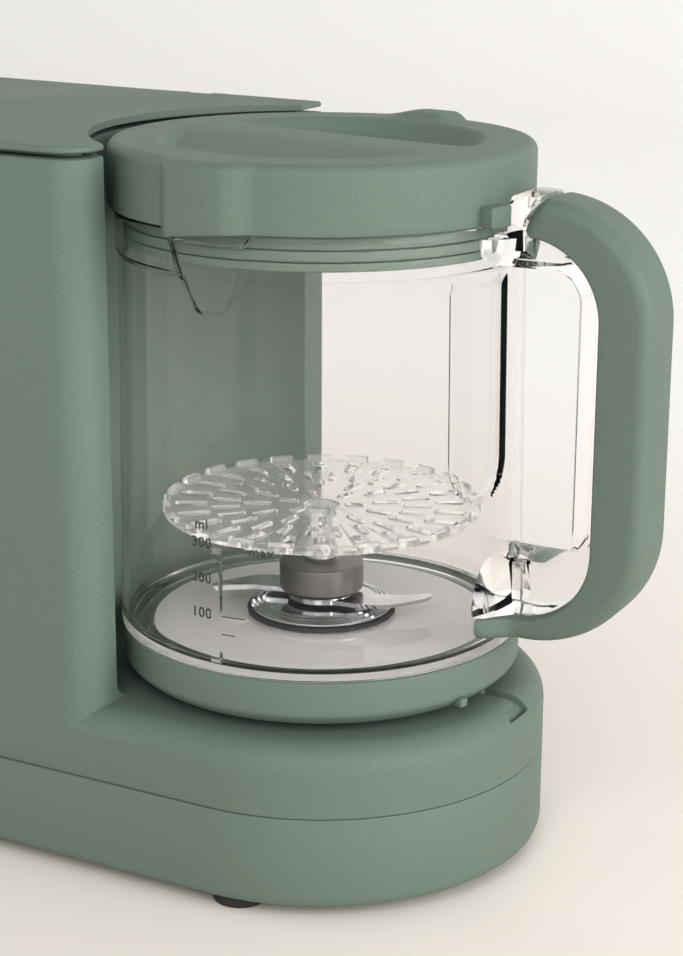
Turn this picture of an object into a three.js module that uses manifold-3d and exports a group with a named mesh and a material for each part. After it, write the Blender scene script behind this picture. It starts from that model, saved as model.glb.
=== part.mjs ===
// Baby food maker: a base with a tower beside a clear blending jug.
// Millimetres, Z up. The jug's handle points along +X and its spout along -Y.
// The origin is on the floor under the middle of the bounding box.
import * as THREE from 'three';
import { mergeVertices } from 'three/addons/utils/BufferGeometryUtils.js';
import Module from 'manifold-3d';

const wasm = await Module();
wasm.setup();

// ---- Driving dimensions ----
const bodyLength = 284; // left end of the tower to the outside of the handle
const bodyDepth = 133;
const jugX = 39; // the jug's own axis
const wall = 2.6;
const gap = 0.3; // between pieces that touch
const footHeight = 4;
const seamZ = 31; // where the lower shell meets the housing
const baseTopZ = 51.5;
const deckZ = 206.4; // top of the tower, under its cover
const coverZ = 207.9;
const recessRadius = 65.5; // hollow in the tower that faces the jug
const seatZ = 54.2; // the jug stands on this
const skirtTopZ = 67.6;
const floorZ = 68.6; // inside floor of the jug
const rimZ = 189.1; // top edge of the jug
const jugRadius = 59;
const lidRadius = 60;
const lidTopZ = 208.3;
const tankFloorZ = 84;
const boilerX = -85;
const knobX = -92;
const knobZ = 58;
const bigRound = 40; // sides of the largest circles
const smallRound = 12;
const midRound = 24;
const meshTolerance = 0.04; // flat runs of facets are merged within this

// ---- Colours and finishes ----
const sage = { color: 0x7c8f81, roughness: 0.62, metalness: 0 };
const clear = { color: 0xe9e7e6, roughness: 0.08, metalness: 0, transparent: true, opacity: 0.35 };
const smoked = { color: 0xb9c4c4, roughness: 0.2, metalness: 0, transparent: true, opacity: 0.5 };
const rubber = { color: 0x1d1e1e, roughness: 0.85, metalness: 0 };
const silicone = { color: 0x8f9a93, roughness: 0.7, metalness: 0 };
const steel = { color: 0xb4b6b8, roughness: 0.25, metalness: 1 };
const zinc = { color: 0x8e9092, roughness: 0.45, metalness: 1 };
const darkPlastic = { color: 0x2a2c2d, roughness: 0.55, metalness: 0 };
const boardGreen = { color: 0x1f5b3a, roughness: 0.5, metalness: 0 };
const lightGuide = { color: 0xf2efe6, roughness: 0.3, metalness: 0 };

// ---- Small tools ----
const radians = THREE.MathUtils.degToRad;

// A three.js geometry as a closed solid.
function toSolid(geometry) {
  const bare = geometry.clone();
  bare.deleteAttribute('normal');
  bare.deleteAttribute('uv');
  const merged = mergeVertices(bare, 1e-4);
  const triangles = [];
  for (let i = 0; i < merged.index.count; i += 3) {
    const [a, b, c] = merged.index.array.slice(i, i + 3);
    if (a !== b && b !== c && c !== a) triangles.push(a, b, c);
  }
  return new wasm.Manifold(new wasm.Mesh({
    numProp: 3,
    vertProperties: new Float32Array(merged.attributes.position.array),
    triVerts: new Uint32Array(triangles),
  }));
}

function toGeometry(solid) {
  const mesh = solid.simplify(meshTolerance).getMesh();
  const geometry = new THREE.BufferGeometry();
  geometry.setAttribute('position', new THREE.BufferAttribute(mesh.vertProperties, 3));
  geometry.setIndex(new THREE.BufferAttribute(mesh.triVerts, 1));
  geometry.computeVertexNormals();
  return geometry;
}

const group = new THREE.Group();

function addPiece(name, solid, finish) {
  const mesh = new THREE.Mesh(toGeometry(solid), new THREE.MeshStandardMaterial(finish));
  mesh.name = name;
  group.add(mesh);
}

function box(x0, x1, y0, y1, z0, z1) {
  const geometry = new THREE.BoxGeometry(x1 - x0, y1 - y0, z1 - z0);
  geometry.translate((x0 + x1) / 2, (y0 + y1) / 2, (z0 + z1) / 2);
  return toSolid(geometry);
}

// An upright cylinder, or a cone when the two radii differ.
function post(x, y, radius, z0, z1, sides = smallRound, topRadius = radius) {
  const geometry = new THREE.CylinderGeometry(topRadius, radius, z1 - z0, sides);
  geometry.rotateX(Math.PI / 2);
  geometry.translate(x, y, (z0 + z1) / 2);
  return toSolid(geometry);
}

// A cylinder lying along X or Y between two coordinates.
function bar(axis, from, to, other, z, radius, sides = smallRound) {
  const geometry = new THREE.CylinderGeometry(radius, radius, to - from, sides);
  if (axis === 'x') geometry.rotateZ(Math.PI / 2);
  const middle = (from + to) / 2;
  geometry.translate(axis === 'x' ? middle : other, axis === 'x' ? other : middle, z);
  return toSolid(geometry);
}

// A body of revolution about an upright axis. The [radius, z] profile runs anticlockwise and
// either starts and ends on the axis or closes on itself.
function turned(profile, x, sides = bigRound) {
  const closed = profile[0][0] > 0 ? [...profile, profile[0]] : profile;
  const geometry = new THREE.LatheGeometry(closed.map(([r, z]) => new THREE.Vector2(r, z)), sides);
  geometry.rotateX(Math.PI / 2);
  geometry.translate(x, 0, 0);
  return toSolid(geometry);
}

function washer(inner, outer, z0, z1, x = jugX, sides = bigRound) {
  return turned([[inner, z0], [outer, z0], [outer, z1], [inner, z1]], x, sides);
}

function arc(cx, cy, radius, from, to, steps) {
  return Array.from({ length: steps + 1 }, (_, i) => {
    const angle = radians(from + ((to - from) * i) / steps);
    return [cx + radius * Math.cos(angle), cy + radius * Math.sin(angle)];
  });
}

// A closed body through a stack of [x, y, z] rings that all have the same number of points,
// each ring anticlockwise seen from above, lowest first.
function loft(rings) {
  const count = rings[0].length;
  const positions = rings.flat(2);
  const index = [];
  for (let level = 0; level < rings.length - 1; level += 1) {
    for (let i = 0; i < count; i += 1) {
      const a = level * count + i;
      const b = level * count + ((i + 1) % count);
      index.push(a, b, b + count, a, b + count, a + count);
    }
  }
  const capOf = (ring) => THREE.ShapeUtils.triangulateShape(
    ring.map(([x, y]) => new THREE.Vector2(x, y)),
    [],
  );
  for (const [a, b, c] of capOf(rings[0])) index.push(a, c, b);
  const top = (rings.length - 1) * count;
  for (const [a, b, c] of capOf(rings.at(-1))) index.push(top + a, top + b, top + c);
  const geometry = new THREE.BufferGeometry();
  geometry.setAttribute('position', new THREE.Float32BufferAttribute(positions, 3));
  geometry.setIndex(index);
  return toSolid(geometry);
}

const atHeight = (outline, z) => outline.map(([x, y]) => [x, y, z]);

function prism(outline, z0, z1) {
  return loft([atHeight(outline, z0), atHeight(outline, z1)]);
}

// A slice of a ring about the jug's axis, angles in degrees from the handle.
function sector(inner, outer, from, to, z0, z1, steps = 8) {
  const outline = [
    ...arc(jugX, 0, outer, from, to, steps),
    ...arc(jugX, 0, inner, to, from, steps),
  ];
  return prism(outline, z0, z1);
}

// ---- Outlines of the base and of the tower ----
const halfLength = bodyLength / 2;
const halfDepth = bodyDepth / 2;
const leftCorner = 28;
const towerCorner = 10;
const rearCorner = 1;
const towerRightX = 2.5;

function leftCorners(inset) {
  const radius = leftCorner - inset;
  const cx = -halfLength + leftCorner;
  const cy = halfDepth - leftCorner;
  return [...arc(cx, cy, radius, 90, 180, 6), ...arc(cx, -cy, radius, 180, 270, 6)];
}

function baseOutline(inset) {
  return [...arc(jugX, 0, halfDepth - inset, -90, 90, 24), ...leftCorners(inset)];
}

function towerOutline(inset) {
  const front = Math.max(towerCorner - inset, 0.1);
  const rear = Math.max(rearCorner - inset, 0.1);
  const rightX = towerRightX - inset;
  const sideY = halfDepth - inset;
  return [
    ...arc(rightX - front, front - sideY, front, -90, 0, 4),
    ...arc(rightX - rear, sideY - rear, rear, 0, 90, 2),
    ...leftCorners(inset),
  ];
}

// The housing's foot is drawn in along the tower side and runs out round the jug.
const footBandHeight = 4.2;
const footBandInset = 0.9;
const bandEndX = jugX + 25;
const bandFade = 55; // length over which the band runs out

function footBand(outline) {
  const plain = outline(0);
  const drawnIn = outline(footBandInset);
  return plain.map(([x, y], i) => {
    const share = THREE.MathUtils.clamp((bandEndX - x) / bandFade, 0, 1);
    return [
      THREE.MathUtils.lerp(x, drawnIn[i][0], share),
      THREE.MathUtils.lerp(y, drawnIn[i][1], share),
      seamZ + gap,
    ];
  });
}

// Rings that round a top edge over, from a straight side to a flat top at topZ.
function roundedTop(outline, inset, radius, topZ, steps = 3) {
  return Array.from({ length: steps + 1 }, (_, i) => {
    const angle = (i / steps) * (Math.PI / 2);
    const drawnIn = inset + radius * (1 - Math.cos(angle));
    return atHeight(outline(drawnIn), topZ - radius + radius * Math.sin(angle));
  });
}

// ---- Fasteners and feet ----
const screwSpots = [[-132, -25], [-132, 25], [10, -57], [10, 57], [jugX + 57, 0]];
const footSpots = [[43.5, -55], [43.5, 55], [-118, -46], [-118, 46]];
const footNames = ['front_right', 'rear_right', 'front_left', 'rear_left'];
const screwHeadTopZ = 9.5;
const screwPostZ = 14.3;
const footPegRadius = 2.2;

// ---- Lower shell ----
const trayFloorZ = 6.5;
const glandX = -98;
const glandZ = 18;
const glandRadius = 7;

function lowerShell() {
  let shell = loft([
    atHeight(baseOutline(3), footHeight),
    atHeight(baseOutline(0.9), footHeight + 0.9),
    atHeight(baseOutline(0), footHeight + 3),
    atHeight(baseOutline(0), seamZ),
  ]).subtract(loft([
    atHeight(baseOutline(wall + 1.5), trayFloorZ),
    atHeight(baseOutline(wall), trayFloorZ + 2),
    atHeight(baseOutline(wall), seamZ + 1),
  ]));
  for (const [x, y] of screwSpots) {
    shell = shell
      .add(post(x, y, 6, footHeight + 1, screwPostZ - gap))
      .subtract(post(x, y, 4.2, 0, screwHeadTopZ + gap))
      .subtract(post(x, y, 2.1, 0, screwPostZ + 1));
  }
  for (const [x, y] of footSpots) {
    shell = shell.subtract(post(x, y, footPegRadius + gap, 0, trayFloorZ + 1, 12));
  }
  const ventPitch = 9;
  for (let row = -2; row <= 2; row += 1) {
    const x = jugX + row * ventPitch;
    shell = shell.subtract(box(x - 1.6, x + 1.6, -18, 18, 0, trayFloorZ + 1));
  }
  return shell.subtract(
    bar('y', halfDepth - 8, halfDepth + 1, glandX, glandZ, glandRadius + gap),
  );
}

addPiece('lower_shell', lowerShell(), sage);

footSpots.forEach(([x, y], i) => {
  const pad = post(x, y, 7.4, 0, 1, smallRound, 8)
    .add(post(x, y, 8, 1, footHeight - gap))
    .add(post(x, y, footPegRadius, 2, trayFloorZ + 2, 12));
  addPiece(`foot_${footNames[i]}`, pad, rubber);
});

screwSpots.forEach(([x, y], i) => {
  const screw = post(x, y, 3.9, screwHeadTopZ - 2.6, screwHeadTopZ)
    .add(post(x, y, 1.8, screwHeadTopZ - 1, 25, 12))
    .subtract(box(x - 2.6, x + 2.6, y - 0.6, y + 0.6, 0, screwHeadTopZ - 1.4))
    .subtract(box(x - 0.6, x + 0.6, y - 2.6, y + 2.6, 0, screwHeadTopZ - 1.4));
  addPiece(`base_screw_${i + 1}`, screw, zinc);
});

// ---- Main housing: the upper half of the base and the tower in one moulding ----
const baseEdge = 8;
const innerRecess = recessRadius + wall;
const driveHoleRadius = 16;
const nozzleZ = 197;
const nozzleRadius = 5;
const knobRadius = 19;
const ringRadius = knobRadius + 3.2;
const pinY = 64.6;
const pinZ = 208.6;
const knuckleRadius = 1.7;
const pinRadius = 0.9;
const hingePosts = [[-128, -122], [-52, -46]];

const aboveAll = coverZ + 20;

// Everything nearer the jug than a given radius, above a given height, with a rounded foot.
function jugClearance(radius, z, foot = 0) {
  const rounding = arc(radius - foot, z + foot, foot, -90, 0, 4);
  return turned([[0, z], ...rounding, [radius, aboveAll], [0, aboveAll]], jugX);
}

// A hooked groove on the shoulder of the base: out from under the jug, then along the shoulder.
function lockGroove() {
  const depth = 1;
  const floor = loft([
    atHeight(baseOutline(depth), baseTopZ - baseEdge),
    ...roundedTop(baseOutline, depth, baseEdge - depth, baseTopZ - depth),
  ]);
  return sector(52, 64.4, 0.5, 4.5, baseTopZ - baseEdge + 1, baseTopZ + 1, 3)
    .add(sector(62.4, 65.4, -6, 4.5, baseTopZ - baseEdge + 1, baseTopZ + 1, 4))
    .subtract(floor);
}

function mainHousing() {
  const band = seamZ + gap + footBandHeight;
  const baseTop = loft([
    footBand(baseOutline),
    atHeight(baseOutline(0), band),
    ...roundedTop(baseOutline, 0, baseEdge, baseTopZ),
  ]);
  const tower = loft([
    footBand(towerOutline),
    atHeight(towerOutline(0), band),
    atHeight(towerOutline(0), deckZ),
  ]).subtract(jugClearance(recessRadius, baseTopZ, 5));
  const baseHollow = loft([
    atHeight(baseOutline(wall), seamZ - 1),
    ...roundedTop(baseOutline, wall, baseEdge - wall, baseTopZ - wall),
  ]);
  const towerHollow = prism(towerOutline(wall), seamZ - 1, deckZ - wall)
    .subtract(jugClearance(innerRecess, baseTopZ - wall - 1));
  const tankMouth = prism(towerOutline(9.9), deckZ - 5, deckZ + 1)
    .subtract(jugClearance(innerRecess + 14, deckZ - 6));
  const knobBacking = bar('y', -halfDepth + 1, -halfDepth + 6, knobX, knobZ, ringRadius + 3, 32);
  let housing = baseTop.add(tower).subtract(baseHollow).subtract(towerHollow).subtract(tankMouth)
    .add(knobBacking)
    .add(washer(driveHoleRadius + 3, 46, baseTopZ - 1, seatZ));
  for (const [x, y] of screwSpots) {
    housing = housing
      .add(post(x, y, 4, screwPostZ, baseTopZ - 2))
      .subtract(post(x, y, 2.1, screwPostZ - 1, 27));
    if (x < 0) {
      housing = housing.add(box(-halfLength + 1, x, y - 2, y + 2, seamZ + 1, baseTopZ - 2));
    }
  }
  for (const [x0, x1] of hingePosts) {
    housing = housing
      .add(box(x0, x1, pinY - knuckleRadius, pinY + knuckleRadius, deckZ - 4, pinZ))
      .add(bar('x', x0, x1, pinY, pinZ, knuckleRadius, 16));
  }
  return housing
    .subtract(lockGroove())
    .subtract(post(jugX, 0, driveHoleRadius, baseTopZ - 5, seatZ + 1, 48))
    .subtract(bar('x', hingePosts[0][0] - 1, hingePosts[1][1] + 1, pinY, pinZ, pinRadius + gap, 12))
    .subtract(bar('x', jugX - innerRecess - 4, jugX - 60, 0, nozzleZ, nozzleRadius + gap))
    .subtract(bar('y', -halfDepth - 1, -halfDepth + 2, knobX, knobZ, ringRadius + gap, 32))
    .subtract(bar('y', -halfDepth - 1, -halfDepth + 8, knobX, knobZ, 3.4));
}

addPiece('main_housing', mainHousing(), sage);

// ---- Tower cover, hinged along its rear edge ----
const coverInset = 0.4;
const coverFall = 0.0113; // the top falls towards the jug
const stepX = -37; // right of this the rear edge stands further back
const stepY = 62.5;

function coverTop(outline, dz) {
  return outline.map(([x, y]) => [x, y, coverZ + 1.7 - coverFall * x + dz]);
}

function tankCover() {
  const jugSide = jugClearance(recessRadius - coverInset, coverZ - 5);
  const plate = loft([
    atHeight(towerOutline(coverInset), coverZ),
    coverTop(towerOutline(coverInset), -0.9),
    coverTop(towerOutline(coverInset + 0.9), 0),
  ]).subtract(jugSide)
    .subtract(box(-halfLength, stepX, stepY, halfDepth + 1, coverZ - 1, coverZ + 8));
  const lipOuter = prism(towerOutline(5), deckZ + gap, coverZ + 0.5);
  const lipInner = prism(towerOutline(7.5), deckZ, coverZ)
    .subtract(jugClearance(recessRadius + 7.5, deckZ - 1));
  const lip = lipOuter.subtract(lipInner).subtract(jugClearance(recessRadius + 5, deckZ - 1));
  const [left, right] = [hingePosts[0][1] + gap, hingePosts[1][0] - gap];
  const knuckle = bar('x', left, right, pinY, pinZ, knuckleRadius, 16)
    .add(box(left, right, stepY - 1, pinY, coverZ, pinZ + knuckleRadius - 0.4));
  return plate.add(lip).add(knuckle)
    .subtract(bar('x', left - 1, right + 1, pinY, pinZ, pinRadius + gap, 12));
}

addPiece('tank_cover', tankCover(), sage);
addPiece(
  'cover_hinge_pin',
  bar('x', hingePosts[0][0], hingePosts[1][1], pinY, pinZ, pinRadius, 12),
  steel,
);

// ---- Water tank and steam path inside the tower ----
const tankInset = wall + 1.4;
const tankWall = 2;
const pipeRadius = 3;

function waterTank() {
  const outer = prism(towerOutline(tankInset), tankFloorZ, deckZ - wall - gap)
    .subtract(jugClearance(innerRecess + 12, tankFloorZ - 1));
  const inner = prism(towerOutline(tankInset + tankWall), tankFloorZ + 2.5, deckZ)
    .subtract(jugClearance(innerRecess + 12 + tankWall, tankFloorZ - 1));
  return outer.add(post(boilerX, 22, 4, tankFloorZ - 5, tankFloorZ + 1))
    .subtract(inner)
    .subtract(post(boilerX, 22, 2.2, tankFloorZ - 6, tankFloorZ + 4, 12));
}

const boilerRadius = 33;
const boilerBottomZ = 36;
const boilerTopZ = 73;
const pipeX = jugX - innerRecess - 5.5;

function boiler() {
  const shell = turned([
    [0, boilerBottomZ], [boilerRadius - 2, boilerBottomZ], [boilerRadius, boilerBottomZ + 2],
    [boilerRadius, boilerTopZ - 5], [boilerRadius - 4, boilerTopZ], [0, boilerTopZ],
  ], boilerX, midRound);
  const inside = turned([
    [0, boilerBottomZ + 2], [boilerRadius - 2, boilerBottomZ + 2],
    [boilerRadius - 2, boilerTopZ - 5], [boilerRadius - 5, boilerTopZ - 2], [0, boilerTopZ - 2],
  ], boilerX, midRound);
  const inlet = post(boilerX, 22, 5.6, boilerTopZ - 1, boilerTopZ + 4);
  const outlet = post(boilerX + 20, 0, 5.2, boilerTopZ - 1, boilerTopZ + 2.8);
  return shell.add(inlet).add(outlet).subtract(inside)
    .subtract(post(boilerX, 22, 2.5, boilerTopZ - 4, boilerTopZ + 5, 12))
    .subtract(post(boilerX + 20, 0, pipeRadius + gap, boilerTopZ - 4, boilerTopZ + 5, 16));
}

function steamPipe() {
  const route = new THREE.CatmullRomCurve3([
    new THREE.Vector3(boilerX + 20, 0, boilerTopZ + 1),
    new THREE.Vector3(boilerX + 20, 0, boilerTopZ + 4.8),
    new THREE.Vector3(boilerX + 24, 0, boilerTopZ + 6.8),
    new THREE.Vector3(pipeX - 8, 0, boilerTopZ + 6.8),
    new THREE.Vector3(pipeX - 1, 0, boilerTopZ + 10),
    new THREE.Vector3(pipeX, 0, boilerTopZ + 18),
    new THREE.Vector3(pipeX, 0, nozzleZ - 40),
    new THREE.Vector3(pipeX, 0, nozzleZ - 9),
    new THREE.Vector3(pipeX, 0, nozzleZ - 6),
  ], false, 'centripetal');
  const section = new THREE.Shape();
  section.absarc(0, 0, pipeRadius, 0, Math.PI * 2);
  const bore = new THREE.Path();
  bore.absarc(0, 0, pipeRadius - 1, 0, Math.PI * 2, true);
  section.holes.push(bore);
  return toSolid(new THREE.ExtrudeGeometry(section, {
    steps: 24,
    curveSegments: 3,
    extrudePath: route,
  }));
}

// The nozzle turns the steam out of the tower and towards the port in the lid.
function steamNozzle() {
  const wallX = jugX - innerRecess;
  const body = bar('x', wallX - 1.2, jugX - 62.6, 0, nozzleZ, nozzleRadius)
    .add(box(wallX - 10, wallX - 1.2, -5, 5, nozzleZ - 5.4, nozzleZ + 4));
  return body
    .subtract(bar('x', pipeX, jugX - 60, 0, nozzleZ, 2.2, 12))
    .subtract(post(pipeX, 0, 2.2, nozzleZ - 7, nozzleZ, 12));
}

addPiece('water_tank', waterTank(), smoked);
addPiece('boiler', boiler(), steel);
addPiece('heater_plate', washer(6, 30, boilerBottomZ - 4, boilerBottomZ - gap, boilerX, midRound), zinc);
addPiece('steam_pipe', steamPipe(), silicone);
addPiece('steam_nozzle', steamNozzle(), darkPlastic);

function boilerCradle() {
  const top = boilerBottomZ - 4 - gap;
  let cradle = washer(25, 31, trayFloorZ + gap, top, boilerX, midRound);
  for (const angle of [0, 60, 120]) {
    const window = new THREE.BoxGeometry(70, 14, 12);
    window.rotateZ(radians(angle));
    window.translate(boilerX, 0, trayFloorZ + 14);
    cradle = cradle.subtract(toSolid(window));
  }
  return cradle;
}

addPiece('boiler_cradle', boilerCradle(), darkPlastic);

// ---- Electrics ----
function circuitBoard() {
  const boardZ = 14;
  return box(-46, -6, -28, 28, boardZ, boardZ + 1.6)
    .add(box(-42, -26, -22, -6, boardZ + 1, boardZ + 14))
    .add(post(-16, 14, 6, boardZ + 1, boardZ + 18))
    .add(box(-42, -30, 4, 22, boardZ + 1, boardZ + 10))
    .add(post(-38, -25, 1.6, trayFloorZ + gap, boardZ + 1, 10))
    .add(post(-14, 25, 1.6, trayFloorZ + gap, boardZ + 1, 10));
}

addPiece('circuit_board', circuitBoard(), boardGreen);
addPiece(
  'cord_gland',
  bar('y', halfDepth - 5, halfDepth + 8, glandX, glandZ, glandRadius)
    .add(bar('y', halfDepth - 6, halfDepth - wall - gap, glandX, glandZ, glandRadius + 2.2))
    .subtract(bar('y', halfDepth - 10, halfDepth + 9, glandX, glandZ, 3.2, 16)),
  rubber,
);

// ---- Control knob ----
const panelY = -halfDepth + 2; // bottom of the dish the knob sits in

function controlKnob() {
  const face = -halfDepth - 8;
  const disc = bar('y', face + 4, panelY - gap, knobX, knobZ, knobRadius, 32)
    .add(bar('y', face + 2.4, face + 4.1, knobX, knobZ, knobRadius - 1.4, 32))
    .subtract(bar('y', panelY - 3, panelY + 1, knobX, knobZ, 3 + gap));
  return disc.add(box(knobX - 3.2, knobX + 3.2, face, face + 5, knobZ - 16, knobZ + 16));
}

addPiece('control_knob', controlKnob(), sage);
addPiece('knob_shaft', bar('y', panelY - 2.6, panelY + 12, knobX, knobZ, 3), zinc);
addPiece(
  'indicator_ring',
  bar('y', -halfDepth - 0.4, panelY - gap, knobX, knobZ, ringRadius, 32)
    .subtract(bar('y', -halfDepth - 1, panelY + 1, knobX, knobZ, knobRadius + 0.5, 32)),
  lightGuide,
);
addPiece(
  'control_switch',
  box(knobX - 11, knobX + 11, panelY + 4.4, panelY + 14, knobZ - 11, knobZ + 11)
    .subtract(bar('y', panelY, panelY + 12.6, knobX, knobZ, 3 + gap)),
  darkPlastic,
);

// ---- Motor and drive ----
const shaftRadius = 2.5;
const dogHeight = 4;
const driveHubTopZ = 53.5;

// A hub with three upstanding or hanging dogs; the other half's dogs stand in its gaps.
function coupling(hubZ0, hubZ1, dogZ0, dogZ1, turn, bore) {
  let part = washer(bore, 9, hubZ0, hubZ1, jugX, midRound);
  for (let i = 0; i < 3; i += 1) {
    const from = turn + i * 120;
    part = part.add(sector(4.6, 9, from, from + 52, dogZ0, dogZ1, 4));
  }
  return part;
}

addPiece('motor', turned([
  [shaftRadius + gap, 12], [26, 12], [30, 15], [30, 41], [27, 44], [shaftRadius + gap, 44],
], jugX, midRound), zinc);
addPiece('motor_bracket', washer(10.5, 36, 44.3, baseTopZ - wall - gap, jugX, midRound), darkPlastic);
addPiece('motor_shaft', post(jugX, 0, shaftRadius, 9, driveHubTopZ), steel);
addPiece('drive_coupling', coupling(
  49,
  driveHubTopZ,
  driveHubTopZ - 1,
  driveHubTopZ + dogHeight,
  4,
  shaftRadius + gap,
), darkPlastic);
addPiece(
  'drive_seal',
  washer(10, driveHoleRadius - gap, baseTopZ - wall + gap, baseTopZ, jugX, midRound),
  silicone,
);

// ---- Jug ----
const wallTopRadius = 57.6; // the wall draws in a little towards its rim
const stepZ = 176.5;
const rimRadius = 58.4;
const jugWall = 2.1;
const lipRadius = 55.9; // hidden foot of the jug, inside the skirt
const bearingHole = 11;
const spoutAngle = -91.5;
const spoutTipZ = 167;
const spoutLipZ = 187.3; // lower than the rim, so the lid can turn over it
const handleHalfWidth = 10;
const frameHalfWidth = 8;
const gripX = jugX + 103;

// A rounded rectangle standing in the XZ plane, thick along Y.
function standing(x0, x1, z0, z1, radius, halfWidth) {
  const shape = new THREE.Shape();
  shape.moveTo(x0, z0);
  shape.lineTo(x1 - radius, z0);
  shape.absarc(x1 - radius, z0 + radius, radius, -Math.PI / 2, 0);
  shape.absarc(x1 - radius, z1 - radius, radius, 0, Math.PI / 2);
  shape.lineTo(x0, z1);
  const geometry = new THREE.ExtrudeGeometry(shape, {
    depth: halfWidth * 2,
    bevelEnabled: false,
    curveSegments: 9,
  });
  geometry.rotateX(Math.PI / 2);
  geometry.translate(0, halfWidth, 0);
  return toSolid(geometry);
}

// The wedge where an arm of the handle widens to meet the jug wall.
function armFlare(z0, z1, halfWidth) {
  const inner = jugX + 55;
  const outer = jugX + 66;
  const wide = halfWidth + 9;
  return prism([[inner, -wide], [outer, -halfWidth], [outer, halfWidth], [inner, wide]], z0, z1);
}

function spout(extra, z0, z1) {
  const ring = (halfAngle, reach, z) => atHeight([
    ...arc(jugX, 0, reach, spoutAngle - halfAngle, spoutAngle + halfAngle, 8),
    ...arc(jugX, 0, 50, spoutAngle + halfAngle + 1, spoutAngle - halfAngle - 1, 8),
  ], z);
  return loft([ring(1.5, 57.4 - extra, z0), ring(12.5 - extra * 0.8, 60.6 - extra, z1)]);
}

function jugBody() {
  const outside = turned([
    [0, floorZ - 2.6], [lipRadius, floorZ - 2.6], [lipRadius, skirtTopZ + gap],
    [jugRadius - 0.6, skirtTopZ + gap], [jugRadius, floorZ + 1], [wallTopRadius, stepZ],
    [rimRadius, stepZ + 1], [rimRadius, rimZ], [0, rimZ],
  ], jugX);
  const inside = turned([
    [0, floorZ], [jugRadius - 6, floorZ], [jugRadius - jugWall, floorZ + 4],
    [wallTopRadius - jugWall, stepZ], [rimRadius - jugWall, stepZ + 1],
    [rimRadius - jugWall, rimZ + 1], [0, rimZ + 1],
  ], jugX);
  const foot = washer(lipRadius - 2.4, lipRadius, 58, floorZ - 1);
  const frame = standing(jugX + 50, gripX - 15.3, 80.3, 186.7, 21.7, frameHalfWidth)
    .add(armFlare(80.3, 91, frameHalfWidth))
    .add(armFlare(179, 186.7, frameHalfWidth))
    .subtract(standing(jugX + 40, jugX + 81.5, 97, 178, 8, 20));
  const hook = box(jugX + 61.2, jugX + 65.6, -9.6, frameHalfWidth, 185, 197.2);
  return outside.add(spout(0, spoutTipZ, spoutLipZ)).add(frame).add(hook).add(foot)
    .subtract(inside)
    .subtract(spout(1.9, spoutTipZ + 3, rimZ + 1))
    .subtract(post(jugX, 0, bearingHole, 50, floorZ + 1, 40));
}

// Green grip: a band round the outside of the clear frame.
function handleGrip() {
  const outer = standing(jugX + 50, gripX, 74, 197.5, 33, handleHalfWidth);
  const inner = standing(jugX + 40, gripX - 15, 80, 187, 22, handleHalfWidth + 8);
  const jugSide = turned([
    [0, 60], [jugRadius + gap, 60], [jugRadius + gap, 170], [0, 170],
  ], jugX);
  return outer.add(armFlare(74, 79.5, frameHalfWidth))
    .subtract(inner)
    .subtract(jugSide)
    .subtract(box(jugX, jugX + 66, -30, 30, 150, 220));
}

function jugSkirt() {
  return turned([
    [28, seatZ + gap], [55, seatZ + gap], [57.4, seatZ + 1.2], [58.5, seatZ + 3.5],
    [58.5, skirtTopZ], [lipRadius + gap, skirtTopZ], [lipRadius + gap, 57.5], [28, 57.5],
  ], jugX).add(sector(56, 59.8, -20.5, -18, seatZ + 1.2, seatZ + 3.6, 2));
}

addPiece('jug_body', jugBody(), clear);
addPiece('handle_grip', handleGrip(), sage);
addPiece('jug_skirt', jugSkirt(), sage);

// ---- Blade bearing, blades and driven coupling ----
const bladeShaftRadius = 3;
const drivenHubZ = 57.9;
const bladeZ = 73.2;
const flangeRadius = 21; // the bearing's flange, over its gasket
const hubRadius = 12.4;
const hubZ = bladeZ + 2.4;
const hubTopZ = hubZ + 9.4;

addPiece(
  'bearing_gasket',
  washer(bearingHole, flangeRadius + 1, floorZ + gap, floorZ + 1.4, jugX, midRound),
  rubber,
);
addPiece('blade_bearing', turned([
  [bladeShaftRadius + 0.4, 60.9], [bearingHole - 0.5, 60.9], [bearingHole - 0.5, floorZ + 1.7],
  [flangeRadius, floorZ + 1.7], [flangeRadius, floorZ + 2.9], [flangeRadius - 1.2, bladeZ - 0.8],
  [bladeShaftRadius + 0.4, bladeZ - 0.8],
], jugX, bigRound), steel);
addPiece(
  'bearing_nut',
  post(jugX, 0, 16, 61, floorZ - 2.9, 6).subtract(post(jugX, 0, bearingHole - 0.2, 60, 68, midRound)),
  darkPlastic,
);
addPiece('driven_coupling', coupling(
  drivenHubZ,
  60.5,
  drivenHubZ - dogHeight,
  drivenHubZ + 1,
  64,
  bladeShaftRadius + gap,
), darkPlastic);
addPiece('blade_shaft', post(jugX, 0, bladeShaftRadius, drivenHubZ, 86), steel);
addPiece('blade_hub', turned([
  [bladeShaftRadius + gap, hubZ], [hubRadius - 0.4, hubZ], [hubRadius, hubZ + 0.4],
  [hubRadius, hubTopZ - 2], [hubRadius - 1, hubTopZ - 1], [5, hubTopZ - 1],
  [4.2, hubTopZ], [bladeShaftRadius + gap, hubTopZ],
], jugX, midRound), steel);

// Two curved wings swept back from the hub, tips turned up and down.
function cuttingBlade() {
  let blade = washer(bladeShaftRadius + gap, 10, bladeZ, bladeZ + 1.6, jugX, midRound);
  for (const side of [0, 180]) {
    const outline = [
      ...arc(0, 0, 9, 20, -50, 5),
      ...[[19, -5], [27, 2], [31.5, 11], [30, 13], [20, 6]],
    ];
    const turn = radians(side);
    const wing = outline.map(([x, y]) => [
      jugX + x * Math.cos(turn) - y * Math.sin(turn),
      x * Math.sin(turn) + y * Math.cos(turn),
    ]);
    blade = blade.add(prism(wing, bladeZ, bladeZ + 1.4));
  }
  return blade;
}

addPiece('cutting_blade', cuttingBlade(), steel);

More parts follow.
